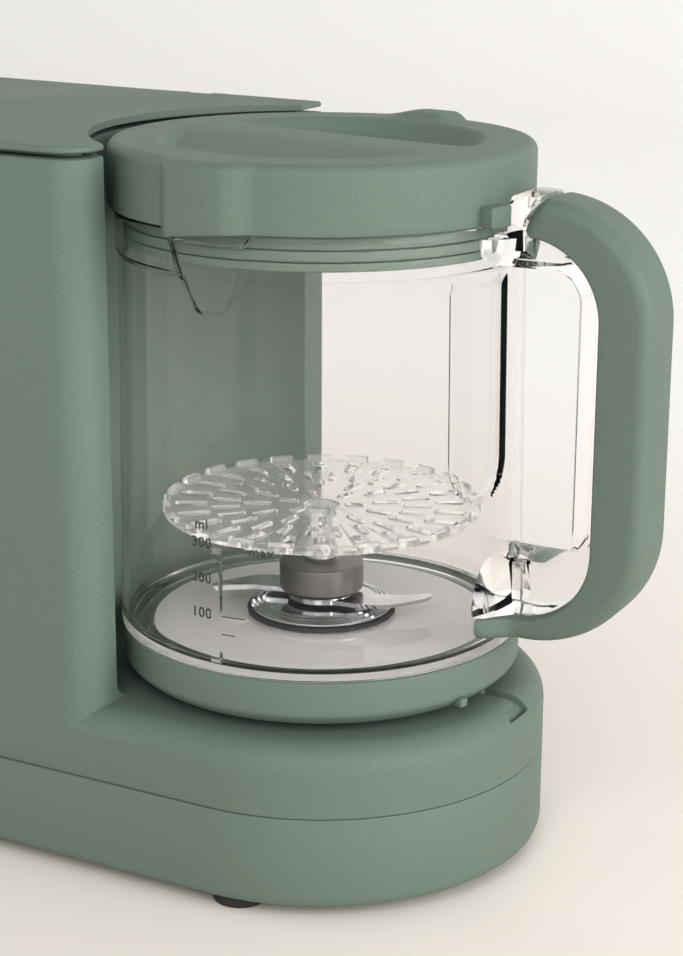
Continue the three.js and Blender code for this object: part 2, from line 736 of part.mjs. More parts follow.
// ---- Perforated disc that stands over the blades ----
const discZ = 99.8;
const discRadius = 46.5;
const discTeeth = 24;

// A slotted plate with a ring of teeth on its edge and a post that fits over the end of the blade shaft.
function blendingDisc() {
  const socketZ = hubTopZ + 0.4;
  let disc = post(jugX, 0, discRadius, discZ, discZ + 2, bigRound)
    .add(washer(discRadius - 2, discRadius, discZ + 1, discZ + 3.6, jugX, bigRound))
    .add(post(jugX, 0, 4.6, socketZ, discZ + 1, midRound))
    .subtract(post(jugX, 0, bladeShaftRadius + gap, socketZ - 1, socketZ + 2, midRound));
  for (let i = 0; i < discTeeth; i += 1) {
    const from = (i * 360) / discTeeth;
    disc = disc.subtract(sector(discRadius - 3, discRadius + 1, from, from + 7, discZ + 2, discZ + 4, 1));
    if (i % 2 === 0) disc = disc.subtract(sector(19, 40, from, from + 11, discZ - 1, discZ + 3, 1));
  }
  return disc;
}

addPiece('blending_disc', blendingDisc(), clear);

// ---- Lid ----
const capZ = 189.9;
const collarRadius = 55.6;
const hollowDepth = 5;
const pinSocketRadius = 4.3;

addPiece('lid_seal', washer(54.7, 56, 182.8, 185.7), silicone);

function lidCollar() {
  let collar = turned([
    [53, 180.2], [collarRadius, 180.2], [collarRadius, 182.5], [54.4, 182.5], [54.4, 186],
    [collarRadius, 186], [collarRadius, 189.4], [pinSocketRadius, 189.4],
    [pinSocketRadius, 187.2], [53, 187.2],
  ], jugX).add(washer(pinSocketRadius, 8, 188, 196, jugX, midRound));
  const steamHoles = 4;
  for (let i = 0; i < steamHoles; i += 1) {
    const angle = radians((i * 360) / steamHoles);
    collar = collar.subtract(
      post(jugX + 28 * Math.cos(angle), 28 * Math.sin(angle), 3.4, 186, 190, 8),
    );
  }
  return collar;
}

// A finger hollow: deepest along its outer wall and running out towards the middle bar.
function fingerHollow(side) {
  const barAngle = -10;
  const outline = arc(0, 0, 46, barAngle + 15, barAngle + 165, 16);
  const sink = ([x, y]) => {
    const across = Math.cos(radians(barAngle)) * y - Math.sin(radians(barAngle)) * x;
    return Math.min(1, Math.max(0, (across - 8) / 26)) * hollowDepth;
  };
  const place = ([x, y], z) => [jugX + side * x, side * y, z];
  return loft([
    outline.map((p) => place(p, lidTopZ - sink(p) - 0.05)),
    outline.map((p) => place(p, lidTopZ + 1)),
  ]);
}

function lidCap() {
  const cup = turned([
    [0, 200.8], [lidRadius - 2.2, 200.8], [lidRadius - 2.2, capZ], [lidRadius, capZ],
    [lidRadius, lidTopZ - 3], [lidRadius - 0.9, lidTopZ - 0.9], [lidRadius - 3, lidTopZ],
    [0, lidTopZ],
  ], jugX);
  const spoutCover = sector(lidRadius - 1, 63.2, -106, -78, spoutLipZ + gap, lidTopZ - 0.8)
    .subtract(sector(lidRadius - 2, 61.1, -104.8, -79.2, 186, capZ + 6));
  const lug = sector(lidRadius - 1.5, 64.4, -17.5, -10, capZ, 195.6, 3);
  const thumbTab = sector(47, lidRadius + 1, 72, 98, lidTopZ - 2, lidTopZ + 2.2, 6);
  return cup.add(spoutCover).add(lug).add(thumbTab)
    .add(post(jugX, 0, pinSocketRadius - gap, 190, 201))
    .subtract(fingerHollow(1))
    .subtract(fingerHollow(-1))
    .subtract(bar('x', jugX - 62, jugX - 56, 0, nozzleZ, 2.6, 16));
}

addPiece('lid_collar', lidCollar(), sage);
addPiece('lid_cap', lidCap(), sage);

export default group;
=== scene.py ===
"""Baby food maker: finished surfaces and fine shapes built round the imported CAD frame.

Lengths are in millimetres until a mesh is made. Angles about the jug are in degrees from its handle.
"""

import math

import bmesh
import bpy
from mathutils import Matrix, Vector


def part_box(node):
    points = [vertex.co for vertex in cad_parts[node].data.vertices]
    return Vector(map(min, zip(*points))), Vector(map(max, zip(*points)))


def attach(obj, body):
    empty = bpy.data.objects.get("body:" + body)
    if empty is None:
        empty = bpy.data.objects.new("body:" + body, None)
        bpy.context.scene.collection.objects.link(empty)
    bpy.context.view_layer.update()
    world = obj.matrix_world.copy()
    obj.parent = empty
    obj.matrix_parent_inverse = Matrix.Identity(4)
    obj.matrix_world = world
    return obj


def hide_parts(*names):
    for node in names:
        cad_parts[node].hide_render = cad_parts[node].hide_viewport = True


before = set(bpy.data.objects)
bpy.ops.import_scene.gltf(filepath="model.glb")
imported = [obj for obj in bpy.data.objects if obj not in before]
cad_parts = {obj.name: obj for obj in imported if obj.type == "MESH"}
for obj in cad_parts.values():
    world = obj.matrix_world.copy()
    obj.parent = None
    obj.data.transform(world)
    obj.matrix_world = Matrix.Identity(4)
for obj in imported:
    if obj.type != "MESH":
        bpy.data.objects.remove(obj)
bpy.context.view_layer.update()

MM = 0.001
ROUND = 240  # steps round a large circle
GAP = 0.3  # clearance between pieces that sit on one another


def extent(node):
    low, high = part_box(node)
    return low / MM, high / MM


# ---- Sizes read from the CAD frame ----
body_low = extent("main_housing")[0]
shell_low, shell_high = extent("lower_shell")
skirt_low, skirt_high = extent("jug_skirt")
cover_low, cover_high = extent("tank_cover")
collar_low = extent("lid_collar")[0]
grip_low, grip_high = extent("handle_grip")
bearing_low, bearing_high = extent("blade_bearing")
hub_low, hub_high = extent("blade_hub")
blade_low, blade_high = extent("cutting_blade")
disc_low, disc_high = extent("blending_disc")
knob_low, knob_high = extent("control_knob")
ring_low, ring_high = extent("indicator_ring")

JUG_X = (skirt_low.x + skirt_high.x) / 2
SKIRT_RADIUS = (skirt_high.x - skirt_low.x) / 2
HALF_DEPTH = (shell_high.y - shell_low.y) / 2
SEAM_Z = shell_high.z
UPPER_BASE_HEIGHT = 20.5
BASE_TOP_Z = SEAM_Z + UPPER_BASE_HEIGHT
SEAT_Z = skirt_low.z - GAP
DECK_Z = cover_low.z - GAP
SHADOW_GAP = 1.5  # between the tower's wall and its cover
PLATE_Z = DECK_Z + SHADOW_GAP
COVER_INSET = 0.4
TOWER_RIGHT_X = cover_high.x + COVER_INSET
RECESS_RADIUS = 65.5
SKIRT_TOP_Z = skirt_high.z
FLOOR_Z = SKIRT_TOP_Z + 1
JUG_RADIUS = 59
WALL_TOP_RADIUS = 57.6
STEP_Z = 176.5
RIM_RADIUS = 58.4
RIM_Z = 189.1
JUG_WALL = 2.1
LID_RADIUS = 60
LID_TOP_Z = 208.3
CAP_BOTTOM_Z = RIM_Z + 0.8
DISC_RADIUS = (disc_high.x - disc_low.x) / 2


# ---- Mesh tools ----
def in_scene(name, data):
    """A new object that holds this data."""
    made = bpy.data.objects.new(name, data)
    bpy.context.scene.collection.objects.link(made)
    return made


def add_mesh(name, points, faces):
    mesh = bpy.data.meshes.new(name)
    mesh.from_pydata([Vector(point) * MM for point in points], [], faces)
    mesh.validate()
    piece = in_scene(name, mesh)
    make_outward(piece)
    return piece


def make_outward(piece):
    shape = bmesh.new()
    shape.from_mesh(piece.data)
    bmesh.ops.recalc_face_normals(shape, faces=shape.faces)
    shape.to_mesh(piece.data)
    shape.free()


def settle(piece):
    """Turns a piece's modifiers into its mesh."""
    bpy.context.view_layer.update()
    graph = bpy.context.evaluated_depsgraph_get()
    made = bpy.data.meshes.new_from_object(piece.evaluated_get(graph))
    piece.modifiers.clear()
    old, piece.data = piece.data, made
    bpy.data.meshes.remove(old)
    return piece


def combine(piece, tool, operation="DIFFERENCE"):
    change = piece.modifiers.new("combine", "BOOLEAN")
    change.object = tool
    change.operation = operation
    change.solver = "MANIFOLD"
    settle(piece)
    bpy.data.objects.remove(tool)
    return piece


def round_edges(piece, width, segments=2, angle=40):
    bevel = piece.modifiers.new("edges", "BEVEL")
    bevel.width = width * MM
    bevel.segments = segments
    bevel.limit_method = "ANGLE"
    bevel.angle_limit = math.radians(angle)
    bevel.use_clamp_overlap = True
    return settle(piece)


def arc(cx, cy, radius, start, end, steps):
    turns = [math.radians(start + (end - start) * i / steps) for i in range(steps + 1)]
    return [(cx + radius * math.cos(t), cy + radius * math.sin(t)) for t in turns]


def softened(points, steps=5):
    """A closed outline with rounded corners, from (x, y, radius) points."""
    outline = []
    for i, (x, y, radius) in enumerate(points):
        here = Vector((x, y))
        if radius == 0:
            outline.append((x, y))
            continue
        back = Vector(points[i - 1][:2]) - here
        ahead = Vector(points[(i + 1) % len(points)][:2]) - here
        half = back.angle(ahead) / 2
        reach = min(radius / math.tan(half), back.length * 0.49, ahead.length * 0.49)
        fitted = reach * math.tan(half)
        middle = back.normalized() + ahead.normalized()
        centre = here + middle.normalized() * fitted / math.sin(half)
        first = here + back.normalized() * reach - centre
        turn = first.angle_signed(here + ahead.normalized() * reach - centre)
        for k in range(steps + 1):
            spoke = first.copy()
            spoke.rotate(Matrix.Rotation(-turn * k / steps, 2))
            outline.append(tuple(centre + spoke))
    return outline


def stitched(rows, closed):
    """Faces between rows of point numbers; a pole is a row with one number repeated."""
    faces = []
    pairs = list(zip(rows, rows[1:]))
    if closed:
        pairs.append((rows[-1], rows[0]))
    for low, high in pairs:
        for i in range(len(low)):
            j = (i + 1) % len(low)
            face = list(dict.fromkeys([low[i], low[j], high[j], high[i]]))
            if len(face) > 2:
                faces.append(face)
    return faces


def even_turns(steps):
    return [360 * i / steps - 180 for i in range(steps)]


def revolved(name, profile, shape=None, turns=even_turns(ROUND)):
    """A closed (radius, z) profile turned about the jug's axis.

    shape(radius, z, angle, index) may move each point, and gives its new radius and z.
    """
    points, rows = [], []
    for index, (radius, z) in enumerate(profile):
        if radius == 0:
            rows.append([len(points)] * len(turns))
            points.append((JUG_X, 0, z))
            continue
        rows.append(range(len(points), len(points) + len(turns)))
        for angle in turns:
            new_radius, new_z = shape(radius, z, angle, index) if shape else (radius, z)
            turn = math.radians(angle)
            x, y = new_radius * math.cos(turn), new_radius * math.sin(turn)
            points.append((JUG_X + x, y, new_z))
    return add_mesh(name, points, stitched(rows, closed=True))


def lofted(name, rings):
    """A closed body through rings of (x, y, z) points, lowest first."""
    count = len(rings[0])
    points = [point for ring in rings for point in ring]
    rows = [range(level * count, (level + 1) * count) for level in range(len(rings))]
    faces = stitched(rows, closed=False)
    faces.append(list(reversed(rows[0])))
    faces.append(list(rows[-1]))
    return add_mesh(name, points, faces)


def at_height(outline, z):
    return [(x, y, z) for x, y in outline]


def prism(name, outline, low_z, high_z):
    return lofted(name, [at_height(outline, low_z), at_height(outline, high_z)])


def slab(name, outline, low_y, high_y):
    """An (x, z) outline made thick along Y."""
    rings = [[(x, y, z) for x, z in outline] for y in (low_y, high_y)]
    return lofted(name, rings)


def drum(name, profile, x, z, steps=96):
    """A closed (radius, y) profile turned about a line along Y."""
    points, rows = [], []
    for radius, y in profile:
        if radius == 0:
            rows.append([len(points)] * steps)
            points.append((x, y, z))
            continue
        rows.append(range(len(points), len(points) + steps))
        for i in range(steps):
            turn = 2 * math.pi * i / steps
            points.append((x + radius * math.cos(turn), y, z + radius * math.sin(turn)))
    return add_mesh(name, points, stitched(rows, closed=True))


def corners(low, high):
    return [(low[0], low[1]), (high[0], low[1]), (high[0], high[1]), (low[0], high[1])]


def rounded_box(low, high, radius):
    return softened([(x, y, radius) for x, y in corners(low, high)])


def block(name, low, high):
    return prism(name, corners(low, high), low[2], high[2])


def sector(inner, outer, start, end, steps=12):
    """The outline of a slice of a ring about the jug's axis."""
    return arc(JUG_X, 0, outer, start, end, steps) + arc(JUG_X, 0, inner, end, start, steps)


def smooth(value, low, high):
    """0 below low, 1 above high, eased between."""
    share = min(1, max(0, (value - low) / (high - low)))
    return share * share * (3 - 2 * share)


def finish_piece(piece, material, body, replaced=(), sharp=32):
    """Gives a piece its look, its body and the CAD nodes it stands in for."""
    piece.data.materials.clear()
    piece.data.materials.append(material)
    for face in piece.data.polygons:
        face.material_index = 0
        face.use_smooth = True
    piece.data.set_sharp_from_angle(angle=math.radians(sharp))
    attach(piece, body)
    if replaced:
        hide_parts(*replaced)
    return piece


# ---- Materials ----
def new_material(name, colour, roughness, metallic=0.0):
    material = bpy.data.materials.new(name)
    material.use_nodes = True
    shader = material.node_tree.nodes["Principled BSDF"]
    shader.inputs["Base Color"].default_value = (*colour, 1)
    shader.inputs["Roughness"].default_value = roughness
    shader.inputs["Metallic"].default_value = metallic
    return material, shader


def noise(material, scale, detail=2.0, stretch=(1, 1, 1)):
    nodes, links = material.node_tree.nodes, material.node_tree.links
    place = nodes.new("ShaderNodeTexCoord")
    mapping = nodes.new("ShaderNodeMapping")
    mapping.inputs["Scale"].default_value = stretch
    texture = nodes.new("ShaderNodeTexNoise")
    texture.inputs["Scale"].default_value = scale
    texture.inputs["Detail"].default_value = detail
    links.new(place.outputs["Object"], mapping.inputs["Vector"])
    links.new(mapping.outputs["Vector"], texture.inputs["Vector"])
    return texture.outputs["Fac"]


NOISE_LOW, NOISE_HIGH = 0.3, 0.7  # the part of a noise's range that is used


def map_range(tree, value, start, end, low=0.0, high=1.0):
    """A number that runs from low to high while value runs from start to end."""
    node = tree.nodes.new("ShaderNodeMapRange")
    limits = {"From Min": start, "From Max": end, "To Min": low, "To Max": high}
    for name, number in limits.items():
        node.inputs[name].default_value = number
    tree.links.new(value, node.inputs["Value"])
    return node.outputs["Result"]


def spread(material, value, low, high, socket):
    """Drives a number on the shader from a noise, between low and high."""
    mapped = map_range(material.node_tree, value, NOISE_LOW, NOISE_HIGH, low, high)
    material.node_tree.links.new(mapped, socket)


def tint(material, value, dark, light, socket):
    """Drives a colour on the shader from a noise, between two colours."""
    nodes, links = material.node_tree.nodes, material.node_tree.links
    ramp = nodes.new("ShaderNodeValToRGB")
    ramp.color_ramp.elements[0].position = NOISE_LOW
    ramp.color_ramp.elements[1].position = NOISE_HIGH
    ramp.color_ramp.elements[0].color = (*dark, 1)
    ramp.color_ramp.elements[1].color = (*light, 1)
    links.new(value, ramp.inputs["Fac"])
    links.new(ramp.outputs["Color"], socket)


def grain(material, shader, value, strength, distance):
    nodes, links = material.node_tree.nodes, material.node_tree.links
    bump = nodes.new("ShaderNodeBump")
    bump.inputs["Strength"].default_value = strength
    bump.inputs["Distance"].default_value = distance * MM
    links.new(value, bump.inputs["Height"])
    links.new(bump.outputs["Normal"], shader.inputs["Normal"])


def shaded(colour, factor):
    return tuple(part * factor for part in colour)


GRAIN_DEPTH = 0.05
ROUGHNESS_RANGE = 0.04


def moulded(name, colour, roughness, grain_size=0.5, strength=0.25, contrast=0.05):
    """Moulded plastic or rubber with a fine etched grain."""
    material, shader = new_material(name, colour, roughness)
    fine = noise(material, 1000 / grain_size)
    broad = noise(material, 40, detail=3)
    dark, light = shaded(colour, 1 - contrast), shaded(colour, 1 + contrast)
    tint(material, fine, dark, light, shader.inputs["Base Color"])
    smoothest, roughest = roughness - ROUGHNESS_RANGE, roughness + ROUGHNESS_RANGE
    spread(material, broad, smoothest, roughest, shader.inputs["Roughness"])
    grain(material, shader, fine, strength, GRAIN_DEPTH)
    return material


def metal(name, colour, roughness, stretch=(1, 1, 30)):
    """Steel with fine drawn lines."""
    material, shader = new_material(name, colour, roughness, metallic=1.0)
    lines = noise(material, 90, detail=4, stretch=stretch)
    dark, light = shaded(colour, 0.88), shaded(colour, 1.08)
    tint(material, lines, dark, light, shader.inputs["Base Color"])
    spread(material, lines, roughness * 0.8, roughness * 1.3, shader.inputs["Roughness"])
    return material


CLEAR_INDEX = 1.22


def clear_plastic(name, colour, roughness, through, milk=0.0):
    """Clear plastic that bends light and lets lamps reach what it holds."""
    material, shader = new_material(name, colour, roughness)
    shader.inputs["Transmission Weight"].default_value = 1 - milk
    shader.inputs["IOR"].default_value = CLEAR_INDEX
    haze = noise(material, 30, detail=3)
    spread(material, haze, roughness * 0.6, roughness * 1.6, shader.inputs["Roughness"])
    nodes, links = material.node_tree.nodes, material.node_tree.links
    rays = nodes.new("ShaderNodeLightPath")
    open_way = nodes.new("ShaderNodeBsdfTransparent")
    open_way.inputs["Color"].default_value = (*through, 1)
    mix = nodes.new("ShaderNodeMixShader")
    links.new(rays.outputs["Is Shadow Ray"], mix.inputs["Fac"])
    links.new(shader.outputs["BSDF"], mix.inputs[1])
    links.new(open_way.outputs["BSDF"], mix.inputs[2])
    links.new(mix.outputs["Shader"], nodes["Material Output"].inputs["Surface"])
    return material


SAGE = (0.110, 0.157, 0.128)
sage = moulded("sage_matte", SAGE, 0.62, contrast=0.10)
sage_grip = moulded("sage_grip", shaded(SAGE, 0.96), 0.58, grain_size=0.7, contrast=0.08)
clear = clear_plastic("clear_jug", (0.965, 0.957, 0.952), 0.02, (0.95, 0.945, 0.94))
clear_disc = clear_plastic("clear_disc", (0.95, 0.945, 0.94), 0.08, (0.93, 0.93, 0.93), milk=0.10)
smoked = clear_plastic("smoked_tank", (0.80, 0.84, 0.84), 0.10, (0.8, 0.84, 0.84))
frosted = moulded("frosted_underside", (0.60, 0.59, 0.585), 0.5, grain_size=1.2, contrast=0.03)
rubber = moulded("black_rubber", (0.014, 0.014, 0.014), 0.8)
silicone = moulded("grey_silicone", (0.28, 0.31, 0.29), 0.6)
dark_plastic = moulded("dark_plastic", (0.024, 0.025, 0.027), 0.5)
board_green = moulded("board_green", (0.02, 0.12, 0.05), 0.4)
light_guide = moulded("light_guide", (0.80, 0.77, 0.70), 0.3, contrast=0.02)
polished = metal("polished_steel", (0.62, 0.62, 0.63), 0.14)
brushed = metal("brushed_steel", (0.20, 0.19, 0.185), 0.36)
zinc = metal("dull_zinc", (0.40, 0.41, 0.42), 0.42)
ink = moulded("grey_ink", (0.022, 0.022, 0.024), 0.6, contrast=0.15)

BASE_SCREWS = [f"base_screw_{number}" for number in range(1, 6)]
CARRIED_OVER = {
    "cord_gland": rubber,
    "cover_hinge_pin": polished,
    "water_tank": smoked,
    "boiler": brushed,
    "heater_plate": zinc,
    "steam_pipe": silicone,
    "steam_nozzle": dark_plastic,
    "boiler_cradle": dark_plastic,
    "circuit_board": board_green,
    "knob_shaft": zinc,
    "control_switch": dark_plastic,
    "motor": zinc,
    "motor_bracket": dark_plastic,
    "motor_shaft": polished,
    "drive_coupling": dark_plastic,
    "drive_seal": silicone,
    "driven_coupling": dark_plastic,
    "bearing_nut": dark_plastic,
    "bearing_gasket": rubber,
    "blade_shaft": polished,
    **dict.fromkeys(BASE_SCREWS, zinc),
}
for node, material in CARRIED_OVER.items():
    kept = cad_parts[node]
    for slot in kept.material_slots:
        slot.material = material

# ---- Outlines of the base and the tower ----
LEFT_CORNER = 28
TOWER_CORNER = 10
REAR_CORNER = 1


def left_corners(inset):
    radius = LEFT_CORNER - inset
    cx = body_low.x + LEFT_CORNER
    cy = HALF_DEPTH - LEFT_CORNER
    rear = arc(cx, cy, radius, 90, 180, 24)
    return rear + arc(cx, -cy, radius, 180, 270, 24)


def base_outline(inset):
    return arc(JUG_X, 0, HALF_DEPTH - inset, -90, 90, 120) + left_corners(inset)


def tower_outline(inset):
    front = max(TOWER_CORNER - inset, 0.1)
    rear = max(REAR_CORNER - inset, 0.1)
    right_x, side_y = TOWER_RIGHT_X - inset, HALF_DEPTH - inset
    front_arc = arc(right_x - front, front - side_y, front, -90, 0, 12)
    rear_arc = arc(right_x - rear, side_y - rear, rear, 0, 90, 6)
    return front_arc + rear_arc + left_corners(inset)


FOOT_BAND_HEIGHT = 4.2
FOOT_BAND_INSET = 0.9
BAND_END_X = JUG_X + 25
BAND_FADE = 55


def foot_band(outline):
    """The drawn-in foot of the housing, which runs out round the jug."""
    ring = []
    for (x, y), (drawn_x, drawn_y) in zip(outline(0), outline(FOOT_BAND_INSET)):
        share = min(1, max(0, (BAND_END_X - x) / BAND_FADE))
        ring.append((x + (drawn_x - x) * share, y + (drawn_y - y) * share, body_foot_z))
    return ring


def rounded_top(outline, inset, radius, top_z, steps=10):
    rings = []
    for i in range(steps + 1):
        turn = math.pi / 2 * i / steps
        drawn_in = inset + radius * (1 - math.cos(turn))
        rings.append(at_height(outline(drawn_in), top_z - radius + radius * math.sin(turn)))
    return rings


def jug_clearance(name, radius, z, foot=0.01, top_z=240):
    corner = arc(radius - foot, z + foot, foot, -90, 0, 8)
    return revolved(name, [(0, z), *corner, (radius, top_z), (0, top_z)])


# ---- Lower shell ----
body_foot_z = SEAM_Z + GAP
SHELL_FOOT_EDGE = ((3, 0), (1.6, 0.3), (0.6, 1.2), (0, 3))  # each an inset and a height
SHELL_SEAM_EDGE = ((0, 0.5), (0.15, 0.15), (0.5, 0))  # each an inset and a depth below the seam
shell = lofted("shell_skin", [
    *[at_height(base_outline(inset), shell_low.z + height) for inset, height in SHELL_FOOT_EDGE],
    *[at_height(base_outline(inset), SEAM_Z - depth) for inset, depth in SHELL_SEAM_EDGE],
])
VENT_PITCH = 9
VENT_HALF_WIDTH, VENT_HALF_LENGTH, VENT_DEPTH = 1.6, 18, 7
for row in range(-2, 3):
    x = JUG_X + row * VENT_PITCH
    vent_low = (x - VENT_HALF_WIDTH, -VENT_HALF_LENGTH, 0)
    vent_high = (x + VENT_HALF_WIDTH, VENT_HALF_LENGTH, VENT_DEPTH)
    combine(shell, block("vent", vent_low, vent_high))
SCREW_HOLE_RADIUS = 4.2
for screw in BASE_SCREWS:
    low, high = extent(screw)
    centre = (low + high) / 2
    hole = arc(centre.x, centre.y, SCREW_HOLE_RADIUS, 0, 360, 32)[:-1]
    combine(shell, prism("screw_hole", hole, 0, high.z + 1))
gland_low, gland_high = extent("cord_gland")
gland_x = (gland_low.x + gland_high.x) / 2
gland_z = (gland_low.z + gland_high.z) / 2
GLAND_RADIUS, GLAND_NUT_RADIUS = 7.3, 9.5
GLAND_INNER_Y, GLAND_STEP_Y, GLAND_OUTER_Y = 50, 64, 70
combine(shell, drum("gland_hole", [
    (0, GLAND_INNER_Y), (GLAND_NUT_RADIUS, GLAND_INNER_Y), (GLAND_NUT_RADIUS, GLAND_STEP_Y),
    (GLAND_RADIUS, GLAND_STEP_Y), (GLAND_RADIUS, GLAND_OUTER_Y), (0, GLAND_OUTER_Y),
], gland_x, gland_z))
finish_piece(shell, sage, "housing", ["lower_shell"])

PAD_FOOT_Z = 0.4
pad_top_z = shell_low.z - GAP
for corner in ("front_right", "rear_right", "front_left", "rear_left"):
    low, high = extent(f"foot_{corner}")
    foot_x, foot_y = (low.x + high.x) / 2, (low.y + high.y) / 2
    radius = (high.x - low.x) / 2
    profile = softened([
        (2, PAD_FOOT_Z, 0.3), (radius - 1.2, PAD_FOOT_Z, 0), (radius - 0.6, 0, 0.3),
        (radius, 0.6, 0.4), (radius, pad_top_z, 0.3), (2, pad_top_z, 0),
    ])
    profile = [(0, PAD_FOOT_Z), *profile, (0, pad_top_z)]
    pad = revolved(f"foot_pad_{corner}", profile, turns=even_turns(64))
    pad.data.transform(Matrix.Translation(Vector((foot_x - JUG_X, foot_y, 0)) * MM))
    finish_piece(pad, rubber, "housing", [f"foot_{corner}"])

# ---- Housing: tower and the upper half of the base ----
BASE_EDGE = 8
band_z = body_foot_z + FOOT_BAND_HEIGHT
housing = lofted("housing_skin", [
    foot_band(base_outline),
    at_height(base_outline(0), band_z),
    *rounded_top(base_outline, 0, BASE_EDGE, BASE_TOP_Z),
])
tower = lofted("tower_skin", [
    foot_band(tower_outline),
    at_height(tower_outline(0), band_z),
    at_height(tower_outline(0), DECK_Z - 0.6),
    at_height(tower_outline(0.2), DECK_Z - 0.2),
    at_height(tower_outline(0.6), DECK_Z),
])
combine(tower, jug_clearance("recess", RECESS_RADIUS, BASE_TOP_Z, foot=5))
combine(housing, tower, "UNION")
SEAT_INNER, SEAT_OUTER = 19, 46
seat = revolved("seat", [
    (SEAT_INNER, BASE_TOP_Z - 2), (SEAT_OUTER, BASE_TOP_Z - 2), (SEAT_OUTER, SEAT_Z - 0.4),
    (SEAT_OUTER - 0.4, SEAT_Z), (SEAT_INNER, SEAT_Z),
])
combine(housing, seat, "UNION")
LOCK_DEPTH = 1.8
shoulder_z = BASE_TOP_Z - BASE_EDGE
for name, outline in (
    ("lock_entry", sector(52, 64.4, 0.5, 4.5)),
    ("lock_hook", sector(62.4, 65.4, -6, 4.5)),
):
    groove = prism(name, outline, shoulder_z + 1, BASE_TOP_Z + 1)
    groove_floor = lofted(f"{name}_floor", [
        at_height(base_outline(LOCK_DEPTH), shoulder_z),
        *rounded_top(base_outline, LOCK_DEPTH, BASE_EDGE - LOCK_DEPTH, BASE_TOP_Z - LOCK_DEPTH),
    ])
    combine(groove, groove_floor)
    combine(housing, groove)
DRIVE_HOLE_RADIUS = 16
combine(housing, jug_clearance("drive_hole", DRIVE_HOLE_RADIUS, BASE_TOP_Z - 4))
WELL_INSET, WELL_FLOOR = 9.9, 50
RECESS_WALL = 16.6  # from the recess to the tank well
tank_well = prism("tank_well", tower_outline(WELL_INSET), body_foot_z + WELL_FLOOR, DECK_Z + 1)
combine(tank_well, jug_clearance("well_limit", RECESS_RADIUS + RECESS_WALL, 30))
combine(housing, tank_well)
KNOB_BORE_RADIUS = 3.4
knob_x = (ring_low.x + ring_high.x) / 2
knob_z = (ring_low.z + ring_high.z) / 2
near = -HALF_DEPTH - 1
for name, radius, far in (
    ("knob_dish", (ring_high.x - ring_low.x) / 2 + GAP, -HALF_DEPTH + 2),
    ("knob_bore", KNOB_BORE_RADIUS, -HALF_DEPTH + 14),
):
    profile = [(0, near), (radius, near), (radius, far), (0, far)]
    combine(housing, drum(name, profile, knob_x, knob_z))
finish_piece(housing, sage, "housing", ["main_housing"])

# ---- Tower cover ----
COVER_THICKNESS = 1.7
COVER_FALL = 0.0113  # the top falls towards the jug
REAR_STEP_X = -37
REAR_STEP_Y = 62.5


def cover_ring(inset, drop):
    return [
        (x, y, PLATE_Z + COVER_THICKNESS - COVER_FALL * x - drop)
        for x, y in tower_outline(inset)
    ]


COVER_TOP_EDGE = ((0, 0.9), (0.12, 0.45), (0.45, 0.12), (0.9, 0))  # each an inset and a drop
cover = lofted("cover_plate", [
    at_height(tower_outline(COVER_INSET + 0.4), PLATE_Z),
    at_height(tower_outline(COVER_INSET), PLATE_Z + 0.4),
    *[cover_ring(COVER_INSET + inset, drop) for inset, drop in COVER_TOP_EDGE],
])
combine(cover, jug_clearance("cover_side", RECESS_RADIUS - COVER_INSET, DECK_Z - 4))
rear_cut = block(
    "rear_cut",
    (body_low.x - 1, REAR_STEP_Y, PLATE_Z - 1),
    (REAR_STEP_X, HALF_DEPTH + 1, PLATE_Z + 8),
)
combine(cover, rear_cut)
LIP_INSET = 5
lip = prism("cover_lip", tower_outline(LIP_INSET), DECK_Z + GAP, PLATE_Z + 0.5)
combine(lip, jug_clearance("lip_side", RECESS_RADIUS + LIP_INSET, DECK_Z - 4))
combine(cover, lip, "UNION")
pin_low, pin_high = extent("cover_hinge_pin")
pin_y, pin_z = (pin_low.y + pin_high.y) / 2, (pin_low.z + pin_high.z) / 2
HINGE_POST_LENGTH = 6
KNUCKLE_RADIUS = 1.35


def knuckle(name, left, right, foot_z, foot_y):
    """A round barrel about the hinge pin, with a foot down to foot_z."""
    outline = arc(pin_y, pin_z, KNUCKLE_RADIUS, -30, 180, 16)
    outline += [(foot_y, foot_z), (pin_y + 1.5, foot_z)]
    rings = [[(x, y, z) for y, z in outline] for x in (left, right)]
    return lofted(name, rings)


barrel = knuckle(
    "cover_barrel",
    pin_low.x + HINGE_POST_LENGTH + GAP,
    pin_high.x - HINGE_POST_LENGTH - GAP,
    PLATE_Z + 0.2,
    REAR_STEP_Y - 1,
)
combine(cover, barrel, "UNION")
finish_piece(cover, sage, "cover", ["tank_cover"])
for side, left in (("left", pin_low.x), ("right", pin_high.x - HINGE_POST_LENGTH)):
    right = left + HINGE_POST_LENGTH
    post = knuckle(f"hinge_post_{side}", left, right, DECK_Z - 1, pin_y - 1.7)
    finish_piece(post, sage, "housing")

# ---- Knob and its ring ----
knob_radius = knob_high.x - knob_x
face_y = knob_low.y
knob = drum("knob_cap", [
    (0, face_y + 2.4), (knob_radius - 3, face_y + 2.4), (knob_radius - 1.5, face_y + 2.8),
    (knob_radius - 0.4, face_y + 3.8), (knob_radius, face_y + 5), (knob_radius, knob_high.y - 0.3),
    (knob_radius - 0.3, knob_high.y), (0, knob_high.y),
], knob_x, knob_z)
BAR_HALF_WIDTH, BAR_HALF_LENGTH, BAR_DEPTH = 3.2, 16, 5
finger_bar = slab(
    "finger_bar",
    rounded_box(
        (knob_x - BAR_HALF_WIDTH, knob_z - BAR_HALF_LENGTH),
        (knob_x + BAR_HALF_WIDTH, knob_z + BAR_HALF_LENGTH),
        3,
    ),
    face_y,
    face_y + BAR_DEPTH,
)
round_edges(finger_bar, 0.8, 3)
combine(knob, finger_bar, "UNION")
finish_piece(knob, sage_grip, "knob", ["control_knob"])
